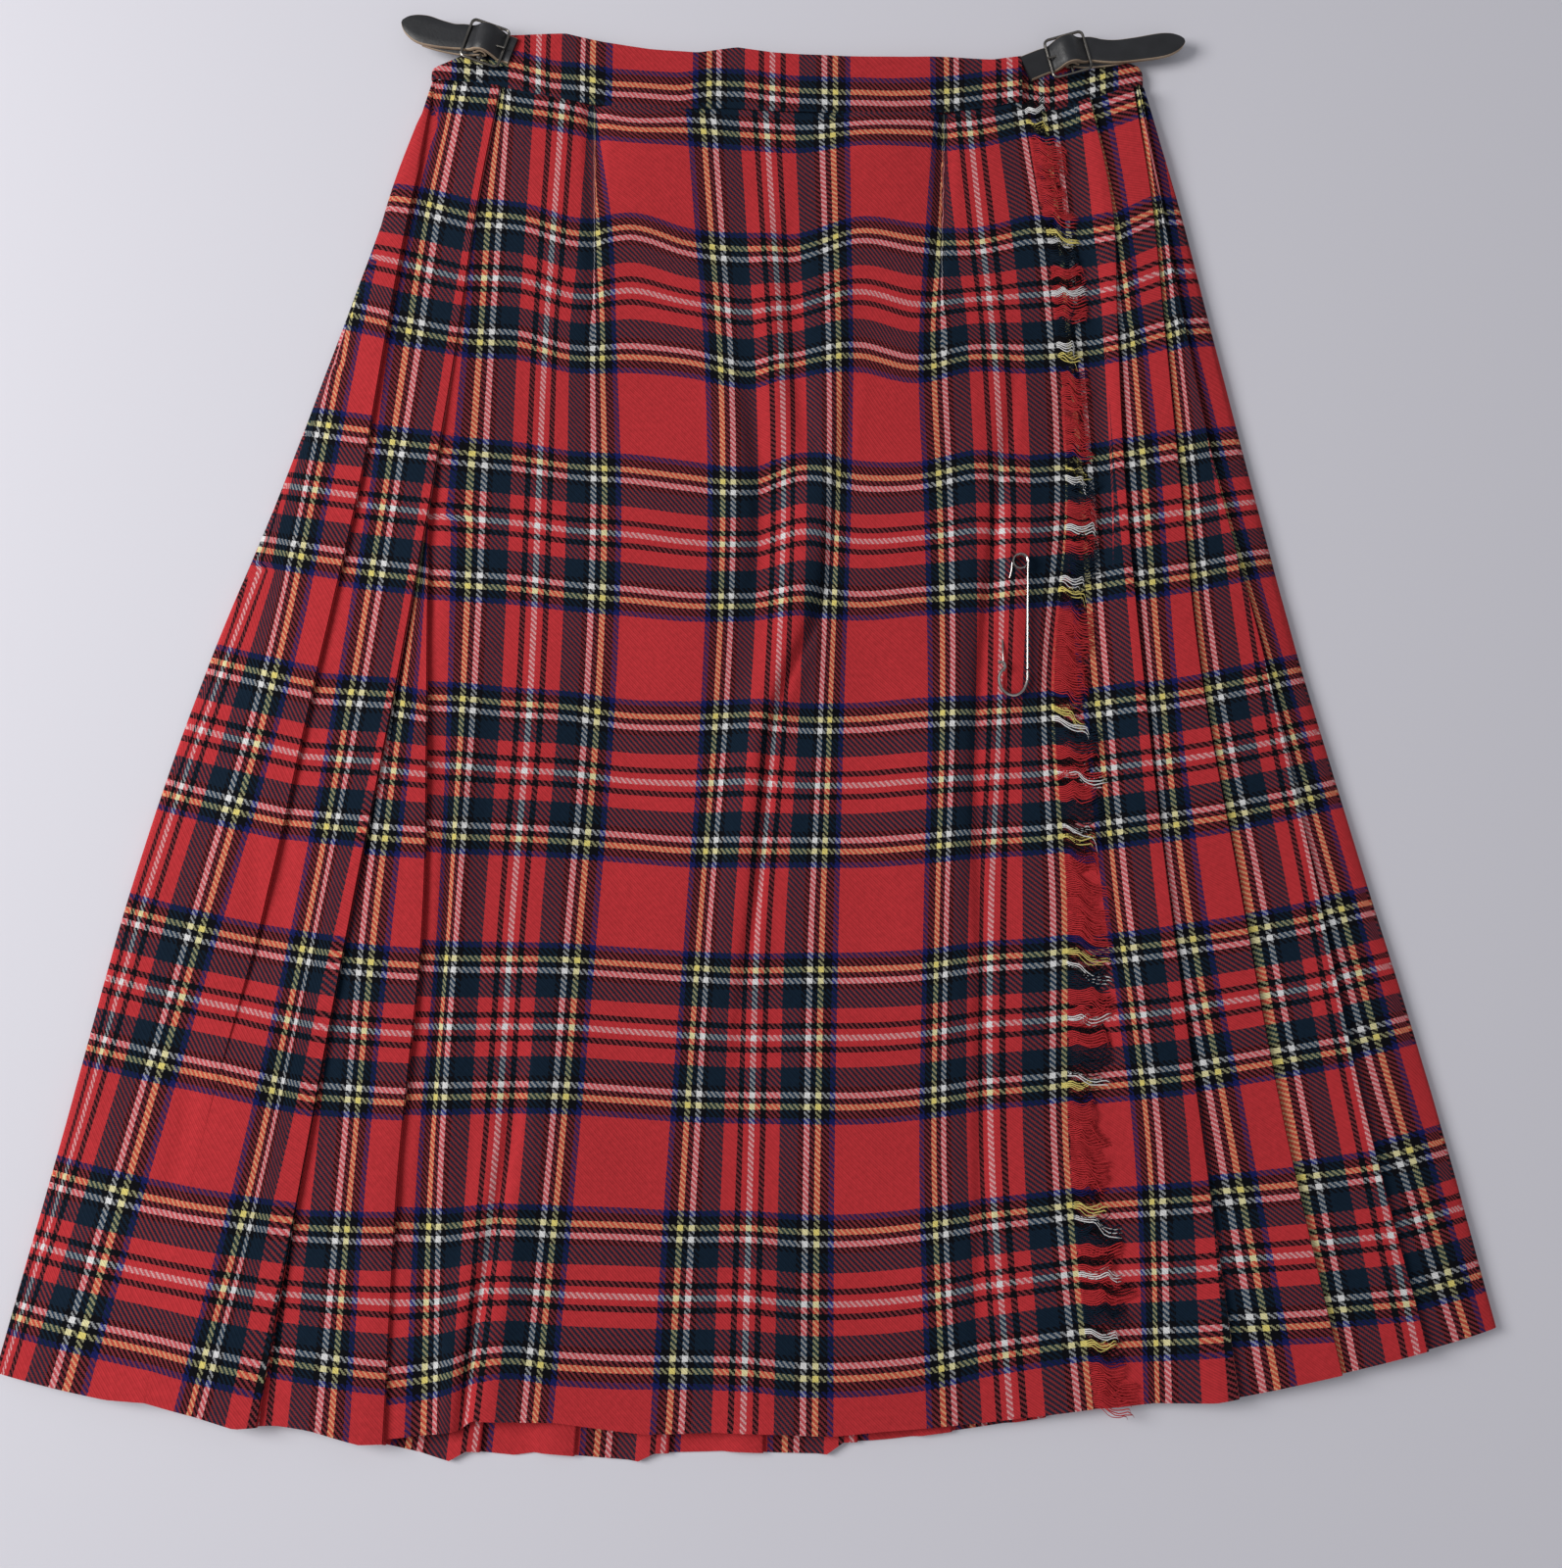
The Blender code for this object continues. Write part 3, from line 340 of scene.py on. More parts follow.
def grid_mesh(name, points, uvs, thickness):
    """A closed wall of cloth round a grid of middle points, with thread counts as its UVs."""
    rows, columns = points.shape[:2]
    along = np.gradient(points, axis=0)
    across = np.gradient(points, axis=1)
    normals = np.cross(along, across)
    lengths = np.linalg.norm(normals, axis=2, keepdims=True)
    normals = normals / np.maximum(lengths, 1e-9)
    upper = points + normals * thickness / 2
    lower = points - normals * thickness / 2
    verts = np.concatenate([upper.reshape(-1, 3), lower.reshape(-1, 3)]) * MM
    both = np.concatenate([uvs.reshape(-1, 2), uvs.reshape(-1, 2)])
    index = np.arange(rows * columns).reshape(rows, columns)
    a, b = index[:-1, :-1].ravel(), index[:-1, 1:].ravel()
    c, d = index[1:, 1:].ravel(), index[1:, :-1].ravel()
    offset = rows * columns
    top = np.stack([a, d, c, b], axis=1)
    bottom = np.stack([a, b, c, d], axis=1) + offset
    rim = np.concatenate([index[0, :], index[1:, -1], index[-1, -2::-1], index[-2:0:-1, 0]])
    after = np.roll(rim, -1)
    side = np.stack([rim, after, after + offset, rim + offset], axis=1)
    faces = np.concatenate([top, bottom, side])
    mesh = bpy.data.meshes.new(name)
    mesh.from_pydata(verts.tolist(), [], faces.tolist())
    layer = mesh.uv_layers.new(name="threads")
    layer.data.foreach_set("uv", both[faces.ravel()].ravel())
    mesh.validate()
    mesh.shade_smooth()
    mesh.set_sharp_from_angle(angle=math.radians(60))
    return add_piece(name, mesh)


def add_piece(name, mesh):
    made = bpy.data.objects.new(name, mesh)
    bpy.context.scene.collection.objects.link(made)
    return made


def arc(x, z, wide, high, turns):
    """Points round a bend, at the given degrees; with a negative width it bends the other way."""
    angles = [math.radians(turn) for turn in turns]
    return [(x + wide * math.cos(angle), z + high * math.sin(angle)) for angle in angles]


def fold(edge, deep, slope, first, last, openness):
    """The hidden cloth behind a folded edge, from the edge round and back out under it.

    openness 0 is a pressed fold; 1 is a crease that lies open."""
    x, z = edge
    drop = slope * deep
    points = arc(x - TURN, z - TURN, TURN, TURN, EDGE_TURN)
    for part in (0.25, 0.75):
        points.append((x - TURN - (deep - TURN) * part, z - LAYER - drop * part))
    points += arc(x - deep, z - drop - LAYER - TURN, -TURN, TURN, (65, 25, -25, -65))
    for part in (0.75, 0.35):
        points.append((x - deep * part, z - 2 * LAYER - drop * part))
    path = []
    for i, folded in enumerate(points):
        part = (i + 1) / (len(points) + 1)
        opened = x + OPEN_WIDTH * (part - 0.5)
        path.append((folded[0] + (opened - folded[0]) * openness,
                     folded[1] + (z - folded[1]) * openness,
                     first + (last - first) * part, None))
    return path


def face(name, share, start_z, end_z, columns, bulge=0.5):
    """The visible cloth between two folds: points of x, z, warp thread and sag."""
    info = FACES[name]
    left, right = (track(edge, share) for edge in info.edges)
    right = max(right, left + 0.5)
    knots = [(left, at_share(info.first, share))]
    for thread, places in info.between:
        shares = SHARES[-len(places):]
        if share < shares[0]:
            continue
        x = float(curve(share, shares, places))
        if left + 2.0 < x < right - 2.0 and thread > knots[-1][1] + 3.0:
            knots.append((x, float(thread)))
    knots.append((right, at_share(info.last, share)))
    sag = [float(curve(share, SAG_SHARES, row)) for row in FACE_SAG[name]]
    points = []
    for i in range(columns):
        part = i / (columns - 1)
        x = left + (right - left) * part
        z = start_z + (end_z - start_z) * part + bulge * math.sin(math.pi * part)
        thread = float(np.interp(x, *zip(*knots)))
        points.append((x, z, thread, sag[0] + (sag[1] - sag[0]) * part))
    return points


def first_thread(name, share):
    """The thread at a face's left edge, where it comes out of the fold before it."""
    return at_share(FACES[name].first, share)


def side_turn(edge, inward):
    """The rounded side, from the flat back up to the front; inward is 1 at the left side."""
    x, _, thread, sag = edge
    turns = (-90, -60, -30, 0, 30, 60)
    middle = x + inward * (WALL / 2 + SIDE_RADIUS)
    path = [(x + inward * 12.0, BACK_Z, thread - inward * 22.0, sag),
            (x + inward * 7.0, BACK_Z, thread - inward * 15.0, sag)]
    bend = arc(middle, BACK_Z + SIDE_RADIUS, -inward * SIDE_RADIUS, SIDE_RADIUS, turns)
    for turn, point in zip(turns, bend):
        path.append((*point, thread - inward * (60 - turn) / 150 * 9.0, sag))
    return path


def fill_sag(points):
    """Hidden cloth takes its sag from the faces on either side."""
    known = [i for i, p in enumerate(points) if p[3] is not None]
    return np.interp(range(len(points)), known, [points[i][3] for i in known])


def hidden_depth(threads):
    """How deep a fold is that hides so many threads in its two layers."""
    return max(threads, 0.0) * THREAD / 2


def left_path(share):
    """The front-left pleats from the side to behind the last fold."""
    start_z = BACK_Z + 2 * SIDE_RADIUS
    width = track("fold_a", share) - track("left", share)
    edge_a = start_z + (EDGE_Z - start_z) * smooth_step(width / 22.0)
    first = face("left_1", share, start_z, edge_a, 22)
    path = side_turn(first[0], 1)
    path += [(p[0] + SIDE_SHIFT * max(0.0, 1 - i / 3), *p[1:]) for i, p in enumerate(first)]
    starts = first_thread("left_2", share)
    hidden = starts - first[-1][2]
    openness = 1.0 - smooth_step(hidden / 14.0)
    slope = (edge_a - start_z) / max(width, 4.0)
    path += fold((first[-1][0], edge_a), max(hidden_depth(hidden), 1.6), slope * 0.8,
                 first[-1][2], starts, openness)
    low = edge_a - 2 * LAYER * (1 - openness)
    edge_b = EDGE_Z - 1.4 * (1 - smooth_step((share - 0.2) / 0.2))
    second = face("left_2", share, low, edge_b, 20)
    path += second
    b_x, b_z = second[-1][:2]
    starts = first_thread("left_3", share)
    hidden = starts - second[-1][2]
    openness = 1.0 - smooth_step(hidden / 6.0)
    slope = (b_z - low) / max(b_x - second[0][0], 6.0)
    path += fold((b_x, b_z), max(hidden_depth(hidden), 1.6), slope, second[-1][2], starts, openness)
    low = b_z - 2 * LAYER * (1 - openness)
    width = track("fold_c", share) - b_x
    edge_c = low + RISE * smooth_step(width / 16.0) * (1 - 0.6 * openness)
    if width >= 1.0:
        third = face("left_3", share, low, edge_c, 12, 0.3)
    else:
        thread = at_share(FACES["left_3"].last, share)
        sag = float(curve(share, SAG_SHARES, FACE_SAG["left_3"][1]))
        reach = b_x + min(width, 1.0)
        third = [(b_x + (reach - b_x) * i / 11, low + (edge_c - low) * i / 11,
                  starts + (thread - starts) * i / 11, sag) for i in range(12)]
    path += third
    x, z, thread, sag = third[-1]
    deep = max(hidden_depth(at_share(APRON_STARTS, share) - thread), 3.0)
    slope = max(edge_c - low, 0.0) / max(width, 8.0)
    path += [(*point, thread + 1.0, None) for point in arc(x - TURN, z - TURN, TURN, TURN, EDGE_TURN)]
    for part in (0.3, 0.65, 1.0):
        path.append((x - deep * part, z - LAYER - slope * deep * part,
                     thread + deep * part / THREAD, sag))
    return path


def take_up_darts(share, knots_x, knots_u):
    """Adds knots at which a dart swallows threads, and fades out down its length."""
    for place, before, after in DARTS:
        middle = at_share(place, share)
        part = smooth_step((0.2 - share) / 0.07)
        left_u = before + (middle - knots_x[knots_u.index(before)]) / THREAD
        right_u = after - (knots_x[knots_u.index(after)] - middle) / THREAD
        if part <= 0.0 or right_u <= left_u:
            continue
        plain = float(np.interp(middle, knots_x, knots_u))
        new_x = [middle - 0.7]
        new_u = [plain + (left_u - plain) * part]
        if left_u > before + 1.0 and right_u < after - 1.0:
            new_x.append(middle + 0.7)
            new_u.append(plain + (right_u - plain) * part)
        index = knots_u.index(after)
        knots_x[index:index] = new_x
        knots_u[index:index] = new_u


def apron_path(share):
    """The over-apron, from behind the last left fold to the edge that is fringed."""
    b_x, c_x = track("fold_b", share), track("fold_c", share)
    start = max(c_x, b_x + min(c_x - b_x, 1.0)) if c_x > b_x else c_x
    root = track("root", share)
    knots_x = [start] + [at_share(places, share) for _, places in APRON_WARPS]
    knots_u = [at_share(APRON_STARTS, share)] + [float(u) for u, _ in APRON_WARPS]
    knots_u.append(knots_u[-1] + (root - knots_x[-1]) / THREAD)
    knots_x.append(root)
    if c_x < b_x:
        visible = at_share(APRON_AT_FOLD_B, share)
        knots_x.insert(1, b_x)
        knots_u.insert(1, visible)
        knots_u[0] = visible - (b_x - start) / THREAD
    take_up_darts(share, knots_x, knots_u)
    low = 4.0 if c_x < b_x + 4.0 else 4.0 + 2.4 * smooth_step((c_x - b_x - 4.0) / 12.0)
    path = []
    for x in [start - 9.0, start - 4.0, start] + list(np.linspace(start + 2.5, root, 206)):
        z = low + (APRON_Z - low) * smooth_step((x - start + 1.0) / 11.0)
        u = float(np.interp(x, knots_x, knots_u)) if x >= start else knots_u[0] + (x - start) / THREAD
        path.append((x, z, u, None))
    return path


def right_path(share):
    """The front-right pleats, from under the fringe to the right side."""
    last = face("right_0", share, ROOT_Z + 0.4, EDGE_Z, 22, -0.6)
    root, _, thread, sag = last[0]
    path = [(root - 6.0, ROOT_Z, thread - 8.5, sag)]
    for x, _, u, sag in last:
        t = smooth_step((x - root - COVERED) / max(last[-1][0] - root - COVERED, 4.0))
        path.append((x, ROOT_Z + 0.2 + (EDGE_Z - ROOT_Z - 0.2) * t, u, sag))
    side_z = BACK_Z + 2 * SIDE_RADIUS
    for name, columns, end_z, deepest, bulge in (("right_1", 12, EDGE_Z, 18.0, 0.3),
                                                 ("right_2", 12, EDGE_Z, 18.0, 0.3),
                                                 ("right_3", 16, side_z, 16.0, 0.5)):
        x, _, thread, _ = last[-1]
        starts = first_thread(name, share)
        width = x - last[0][0]
        deep = min(max(hidden_depth(starts - thread), 3.0), deepest)
        if name == "right_1":
            deep = min(deep, 0.5 * (width - COVERED))
        path += fold((x, EDGE_Z), deep, RISE / max(width, 12.0), thread, starts, 0.0)
        last = face(name, share, EDGE_Z - RISE, end_z, columns, bulge)
        path += last
    count = len(last)
    path[-count:] = [(p[0] - SIDE_SHIFT * max(0.0, 1 - (count - 1 - i) / 3), *p[1:])
                     for i, p in enumerate(last)]
    return path + side_turn(last[-1], -1)[::-1]


def panel(name, path_at, rows, seam, hem, creases, seed, thickness=WALL, apron=False, rough=1.0):
    """A panel of the skirt as one wall of cloth, each row a path across it."""
    points, uvs = [], []
    for row in range(rows):
        share = row / (rows - 1)
        path = path_at(share)
        x = np.array([p[0] for p in path])
        z = np.array([p[1] for p in path])
        top = table(seam, x) / LENGTH
        low = table(hem, x) / LENGTH
        at = top + share * (low - top)
        y = level_y(x, at)
        sag = apron_sag(x, at) if apron else fill_sag(path)
        z = z + relief(x, share, creases)
        z = z + rough * np.array([ripple(a, b, seed, 55.0, 0.5) + ripple(a, b, seed + 9, 23.0, 0.22)
                                  for a, b in zip(x, y)])
        if apron:
            z = np.maximum(z, np.interp(x - track("fold_c", share), (8.0, 14.0), (4.1, 5.2)))
        z = np.maximum(z, thickness / 2 + 0.05)
        points.append(np.stack([x, y, z], axis=1))
        uvs.append(np.stack([np.array([p[2] for p in path]), weft_at(at, sag)], axis=1))
    return grid_mesh(name, np.array(points), np.array(uvs), thickness)


# Materials

def srgb(red, green, blue):
    """A colour given as 0 to 255 on a screen, as the linear values that a shader takes."""
    def linear(value):
        value = value / 255.0
        return value / 12.92 if value <= 0.04045 else ((value + 0.055) / 1.055) ** 2.4
    return (linear(red), linear(green), linear(blue), 1.0)


# Each yarn's brightness where it floats on top, and the share of it that is left over such a yarn
YARNS = {
    "red": ((0.79, 0.103, 0.124), (0.50, 0.25, 0.25)),
    "white": ((1.05, 1.08, 1.08), (0.56, 0.54, 0.54)),
    "yellow": ((1.05, 1.00, 0.53), (0.56, 0.50, 0.28)),
    "black": ((0.010, 0.011, 0.019), (0.20, 0.20, 0.205)),
    "green": ((0.018, 0.055, 0.110), (0.20, 0.20, 0.205)),
    "blue": ((0.030, 0.045, 0.290), (0.20, 0.20, 0.26)),
}
# Threads from the middle of a red block to where each yarn starts, up to the mirror line
HALF_SETT = ((0, "red"), (31, "blue"), (35, "black"), (41, "yellow"), (45, "black"),
             (49, "white"), (53, "black"), (57, "green"), (70, "red"), (80, "black"), (84, "red"),
             (88, "white"))


def floats(yarn):
    return YARNS[yarn][0]


def tints(yarn):
    return YARNS[yarn][1]


def solid(yarn):
    """The colour of cloth or fringe that is all one yarn."""
    return [1.15 * a * b for a, b in zip(*YARNS[yarn])]


class Nodes:
    """Short names for making shader nodes."""

    def __init__(self, name):
        self.material = bpy.data.materials.new(name)
        self.material.use_nodes = True
        self.tree = self.material.node_tree
        self.shader = self.tree.nodes["Principled BSDF"]
        self.place = self.add("ShaderNodeTexCoord").outputs["Object"]

    def add(self, kind, **settings):
        node = self.tree.nodes.new(kind)
        for key, value in settings.items():
            setattr(node, key, value)
        return node

    def join(self, source, target):
        self.tree.links.new(source, target)

    def feed(self, sockets, values):
        """Each value is another node's output, to be joined, or a plain number or colour."""
        for socket, value in zip(sockets, values):
            if hasattr(value, "links"):
                self.join(value, socket)
            else:
                socket.default_value = value

    def math(self, operation, *values):
        node = self.add("ShaderNodeMath", operation=operation)
        self.feed(node.inputs, values)
        return node.outputs[0]

    def stripes(self, step, colour_of):
        """The half sett as hard-edged stripes, from a step of 0 to 1 across it."""
        node = self.add("ShaderNodeValToRGB")
        node.color_ramp.interpolation = "CONSTANT"
        elements = node.color_ramp.elements
        while len(elements) > 1:
            elements.remove(elements[-1])
        for index, (threads, yarn) in enumerate(HALF_SETT):
            element = elements[0] if index == 0 else elements.new(threads / HALF)
            element.position = threads / HALF
            element.color = list(colour_of(yarn)) + [1.0]
        self.join(step, node.inputs[0])
        return node.outputs[0]

    def mix(self, factor, first, second, blend="MIX"):
        node = self.add("ShaderNodeMix", data_type="RGBA", blend_type=blend)
        self.feed((node.inputs[0], node.inputs[6], node.inputs[7]), (factor, first, second))
        return node.outputs[2]

    def noise(self, scale, detail=2.0, placed=True):
        """Noise over the piece's own space, or over its bounding box."""
        node = self.add("ShaderNodeTexNoise")
        self.feed((node.inputs["Scale"], node.inputs["Detail"]), (scale, detail))
        if placed:
            self.join(self.place, node.inputs["Vector"])
        return node.outputs["Fac"]

    def set(self, **values):
        """Gives the shader's own sockets one value all over."""
        for name, value in values.items():
            self.shader.inputs[name.replace("_", " ")].default_value = value

    def bump(self, height, strength, distance):
        node = self.add("ShaderNodeBump")
        names = ("Strength", "Distance", "Height")
        self.feed([node.inputs[name] for name in names], (strength, distance, height))
        self.join(node.outputs[0], self.shader.inputs["Normal"])


def tartan(name, yarn_only=False):
    """A 2/2 twill in a mirrored sett, from thread counts held as UVs."""
    n = Nodes(name)
    uv = n.add("ShaderNodeUVMap", uv_map="threads").outputs[0]
    wobble = n.noise(1400.0, 1.0)
    split = n.add("ShaderNodeSeparateXYZ")
    n.join(uv, split.inputs[0])
    shift = n.math("MULTIPLY_ADD", wobble, 0.9, -0.45)
    warp = n.math("ADD", split.outputs[0], shift)
    weft = n.math("ADD", split.outputs[1], shift)
    warp_floor = n.math("FLOOR", warp)
    weft_floor = n.math("FLOOR", weft)
    weft_place = n.math("SUBTRACT", n.math("ADD", weft_floor, 0.5), HALF)
    weft_step = n.math("DIVIDE", n.math("PINGPONG", weft_place, HALF), HALF)
    if yarn_only:
        colour = n.stripes(weft_step, solid)
    else:
        warp_place = n.math("ADD", warp_floor, 0.5)
        warp_step = n.math("DIVIDE", n.math("PINGPONG", warp_place, HALF), HALF)
        step = n.math("FLOORED_MODULO", n.math("SUBTRACT", warp_floor, weft_floor), 4.0)
        over = n.math("LESS_THAN", step, 1.5)
        warp_float = n.mix(1.0, n.stripes(warp_step, floats), n.stripes(weft_step, tints),
                           "MULTIPLY")
        weft_float = n.mix(1.0, n.stripes(weft_step, floats), n.stripes(warp_step, tints),
                           "MULTIPLY")
        colour = n.mix(over, weft_float, warp_float)
    tone = n.noise(420.0, 3.0)
    broad = n.noise(9.0, 2.0)
    level = n.math("ADD", n.math("MULTIPLY", tone, 0.5), n.math("MULTIPLY", broad, 0.3))
    level = n.math("ADD", level, 0.62)
    if not yarn_only:
        # Painted shade: each twill float is darkened towards its edges, as if the rounded yarn lay in
        # shade there
        painted_float_shade = n.math("MULTIPLY_ADD", n.math("SUBTRACT", warp, weft), math.pi / 2, -0.75 * math.pi)
        painted_float_shade = n.math("ABSOLUTE", n.math("SINE", painted_float_shade))
        level = n.math("MULTIPLY", level, n.math("MULTIPLY_ADD", painted_float_shade, 0.34, 0.80))
    grey = n.add("ShaderNodeCombineColor")
    for socket in grey.inputs:
        n.join(level, socket)
    colour = n.mix(1.0, colour, grey.outputs[0], "MULTIPLY")
    n.join(colour, n.shader.inputs["Base Color"])
    n.set(Roughness=0.86, Specular_IOR_Level=0.06, Sheen_Weight=0.025, Sheen_Roughness=0.55,
          Sheen_Tint=(0.9, 0.78, 0.76, 1.0))
    if yarn_only:
        n.bump(n.noise(2600.0, 2.0), 0.5, 0.0004)
    else:
        across = n.math("SINE", n.math("MULTIPLY", warp, math.pi))
        down = n.math("SINE", n.math("MULTIPLY", weft, math.pi))
        diagonal = n.math("SINE", n.math("MULTIPLY", n.math("SUBTRACT", warp, weft), math.pi / 2))
        threads = n.math("ADD", n.math("ABSOLUTE", across), n.math("ABSOLUTE", down))
        height = n.math("ADD", n.math("MULTIPLY", diagonal, 0.6), n.math("MULTIPLY", threads, 0.3))
        fuzz = n.noise(2400.0, 2.0)
        n.bump(n.math("ADD", height, fuzz), 0.55, 0.0002)
    return n.material


def leather(name, edge=False):
    """Grained black leather, or the bare tan of its cut edges."""
    n = Nodes(name)
    grain = n.noise(900.0, 4.0)
    wear = n.noise(110.0, 3.0)
    if edge:
        low, high = srgb(120, 98, 78), srgb(178, 158, 136)
    else:
        low, high = srgb(20, 20, 22), srgb(40, 41, 45)
    n.join(n.mix(wear, low, high), n.shader.inputs["Base Color"])
    n.join(n.math("MULTIPLY_ADD", grain, 0.25, 0.62 if edge else 0.36), n.shader.inputs["Roughness"])
    n.bump(n.math("ADD", grain, n.math("MULTIPLY", wear, 0.6)), 0.35, 0.0004)
    return n.material


def steel(name, low, high):
    """Scratched steel, clouded between two tones."""
    n = Nodes(name)
    scratches = n.noise(1500.0, 4.0)
    n.join(n.mix(n.noise(160.0, 3.0), low, high), n.shader.inputs["Base Color"])
    n.set(Metallic=1.0)
    n.join(n.math("MULTIPLY_ADD", scratches, 0.2, 0.16), n.shader.inputs["Roughness"])
    n.bump(scratches, 0.12, 0.0001)
    return n.material


def finish_piece(piece, node, material=None):
    """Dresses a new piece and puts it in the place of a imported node."""
    if material is not None:
        piece.data.materials.append(material)
    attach(piece, "root")
    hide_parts(node)
    return piece


def set_up_view():
    """The photo's camera, a pale floor and soft light from a window on the left."""
    camera = bpy.data.cameras.new("photo_camera")
    camera.lens = 36.0
    eye = bpy.data.objects.new("photo_camera", camera)
    eye.location = (0.0166, -0.142, 0.801)
    eye.rotation_euler = (0.1239, 0.0, 0.0)
    bpy.context.scene.collection.objects.link(eye)
    bpy.context.scene.camera = eye
    bpy.context.scene.view_settings.view_transform = "Standard"

    mesh = bpy.data.meshes.new("floor")
    reach = 6.0
    mesh.from_pydata([(-reach, -reach, 0), (reach, -reach, 0), (reach, reach, 0), (-reach, reach, 0)],
                     [], [(0, 1, 2, 3)])
    floor = add_piece("floor", mesh)
    n = Nodes("pale_floor")
    clouds = n.noise(4.0, placed=False)
    n.join(n.mix(clouds, srgb(202, 201, 209), srgb(208, 207, 215)), n.shader.inputs["Base Color"])
    n.set(Roughness=0.9)
    mesh.materials.append(n.material)

    world = bpy.data.worlds.new("soft_room")
    world.use_nodes = True
    back = world.node_tree.nodes["Background"]
    back.inputs["Color"].default_value = (0.93, 0.95, 1.0, 1.0)
    back.inputs["Strength"].default_value = 0.33
    bpy.context.scene.world = world
    for name, place, size, power, colour in (
            ("window", (-1.6, 0.25, 1.3), 1.0, 42.5, (1.0, 0.985, 0.965)),
            ("fill", (0.6, -1.2, 1.8), 1.6, 4.0, (1.0, 0.97, 0.95))):
        light = bpy.data.lights.new(name, "AREA")
        light.size = size
        light.energy = power
        light.color = colour
        lamp = bpy.data.objects.new(name, light)
        lamp.location = place
        aim = Vector((0.0, -0.02, 0.0)) - lamp.location
        lamp.rotation_euler = aim.to_track_quat("-Z", "Y").to_euler()
        bpy.context.scene.collection.objects.link(lamp)


def make_panel(name, *shape, **options):
    """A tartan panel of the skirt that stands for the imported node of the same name."""
    piece = panel(f"kilt_{name}", *shape, **options)
    return finish_piece(piece, name, TARTAN)


def under_path(share):
    """The under-apron, flat behind the over-apron."""
    first = track("fold_c", share) + 14.0
    last = track("root", share) - 7.0
    return [(float(x), UNDER_Z, (float(x) - last) / THREAD + 40.0, 0.0)
            for x in np.linspace(first, last, 40)]


BACK_FOLDS = 14
BACK_FIRST = 0.1168  # the first and the last fold of the back, as shares of the width
BACK_LAST = 0.9295
BACK_INSET = 12.5  # where the back starts, inwards of the sides


def back_path(share):
    """The knife pleats of the back, seen from below and past the apron's hem."""
    left = float(np.interp(share, LEVEL_SHARES, LEFT_X))
    right = float(np.interp(share, LEVEL_SHARES, RIGHT_X))
    spacing = (BACK_LAST - BACK_FIRST) / (BACK_FOLDS - 1) * (right - left)
    deep = 0.3 * spacing
    top = BACK_Z + 2 * BACK_LAYER
    bend = BACK_LAYER / 2
    start = left + BACK_INSET
    thread = -97.0
    path = [(start, BACK_Z, thread)]
    for index in range(BACK_FOLDS):
        x = left + BACK_FIRST * (right - left) + spacing * index
        for part in (0.25, 0.5, 0.75):
            step = (x - 6.0 - start) * part
            path.append((start + step, BACK_Z, thread + step / THREAD))
        thread += (x - start) / THREAD
        turned = thread + deep / THREAD
        path.append((x - 6.0, BACK_Z, thread - 6.0 / THREAD))
        path.append((x - 1.0, top, thread - 1.0 / THREAD))
        path.append((x + deep * 0.5, top, thread + deep * 0.5 / THREAD))
        path.append((x + deep - 1.0, top, turned))
        for point in arc(x + deep - 0.8, BACK_Z + 1.5 * BACK_LAYER, bend, bend, (50, 0, -50)):
            path.append((*point, turned + 1.0))
        path.append((x + deep * 0.5, BACK_Z + BACK_LAYER, thread + deep * 1.5 / THREAD))
        for point in arc(x, BACK_Z + 0.5 * BACK_LAYER, bend, bend, (130, 180, 230)):
            path.append((*point, thread + deep * 2 / THREAD + 1.0))
        thread = -57.0 if index % 2 == 1 else 10.0
        start = x + 1.0
        path.append((start, BACK_Z, thread))
    for part in (0.33, 0.66, 1.0):
        step = (right - BACK_INSET - start) * part
        path.append((start + step, BACK_Z, thread + step / THREAD))
    return [(*point, 0.0) for point in path]


# Waistband

BAND_WALL = 1.9
BAND_SEAM_WEFT = -30.5
BAND_FRONT_TOP = (
    (-173, 344.5), (-150, 356), (-131, 365), (-100, 366), (-79, 361), (-54, 357), (-28.5, 355),
    (-7, 358), (12, 355), (50, 353), (98, 352.5), (131, 351), (146, 353))
BAND_UNDER_TOP = (
    (-118, 351), (60, 350), (146, 350), (160, 351.5), (185, 353), (209, 350), (214, 342))
BAND_BACK_TOP = ((-173, 342), (-131, 352), (0, 350), (150, 350), (214, 337))
BAND_WARPS = (
    (-172, -165), (-153, -137), (-146, -129), (-114, -90), (-88, -47), (-82, -39), (-74, -31),
    (-31, 31), (-22, 43), (-17, 51), (12, 90), (40, 129), (46, 137), (54, 149), (97, 211), (106, 223),
    (111, 231), (140, 270), (147, 279))
BAND_YELLOW = (
    (-173, 352), (-153, 350), (-128, 347.8), (-107, 341.5), (-91, 340.2), (-74, 336.8), (-38, 334.5),
    (-20, 337.3), (-2, 336.5), (12, 334.2), (23, 332.8), (47, 332), (78, 331.3), (94, 331.7),
    (111, 332.8), (125, 335), (146, 337.5))


def band(name, path, top, rows, lines, seed):
    """A length of waistband: a folded strip, a little full between its edges."""
    points, uvs = [], []
    x = np.array([p[0] for p in path])
    low_share = table(SEAM, x) / LENGTH
    low = level_y(x, low_share)
    high = table(top, x)
    for row in range(rows):
        part = row / (rows - 1)
        y = high + (low - high) * part
        full = math.sin(math.pi * part) ** 0.5 * 0.5 - 0.3 * (part > 0.97)
        z = np.array([p[1] for p in path]) + full
        z = z + np.array([ripple(a, b, seed, 20.0, 0.5) for a, b in zip(x, y)])
        z = np.maximum(z, BAND_WALL / 2 + 0.05)
        weft = lines(x, y, low)
        points.append(np.stack([x, y, z], axis=1))
        uvs.append(np.stack([np.array([p[2] for p in path]), weft], axis=1))
    return grid_mesh(name, np.array(points), np.array(uvs), BAND_WALL)


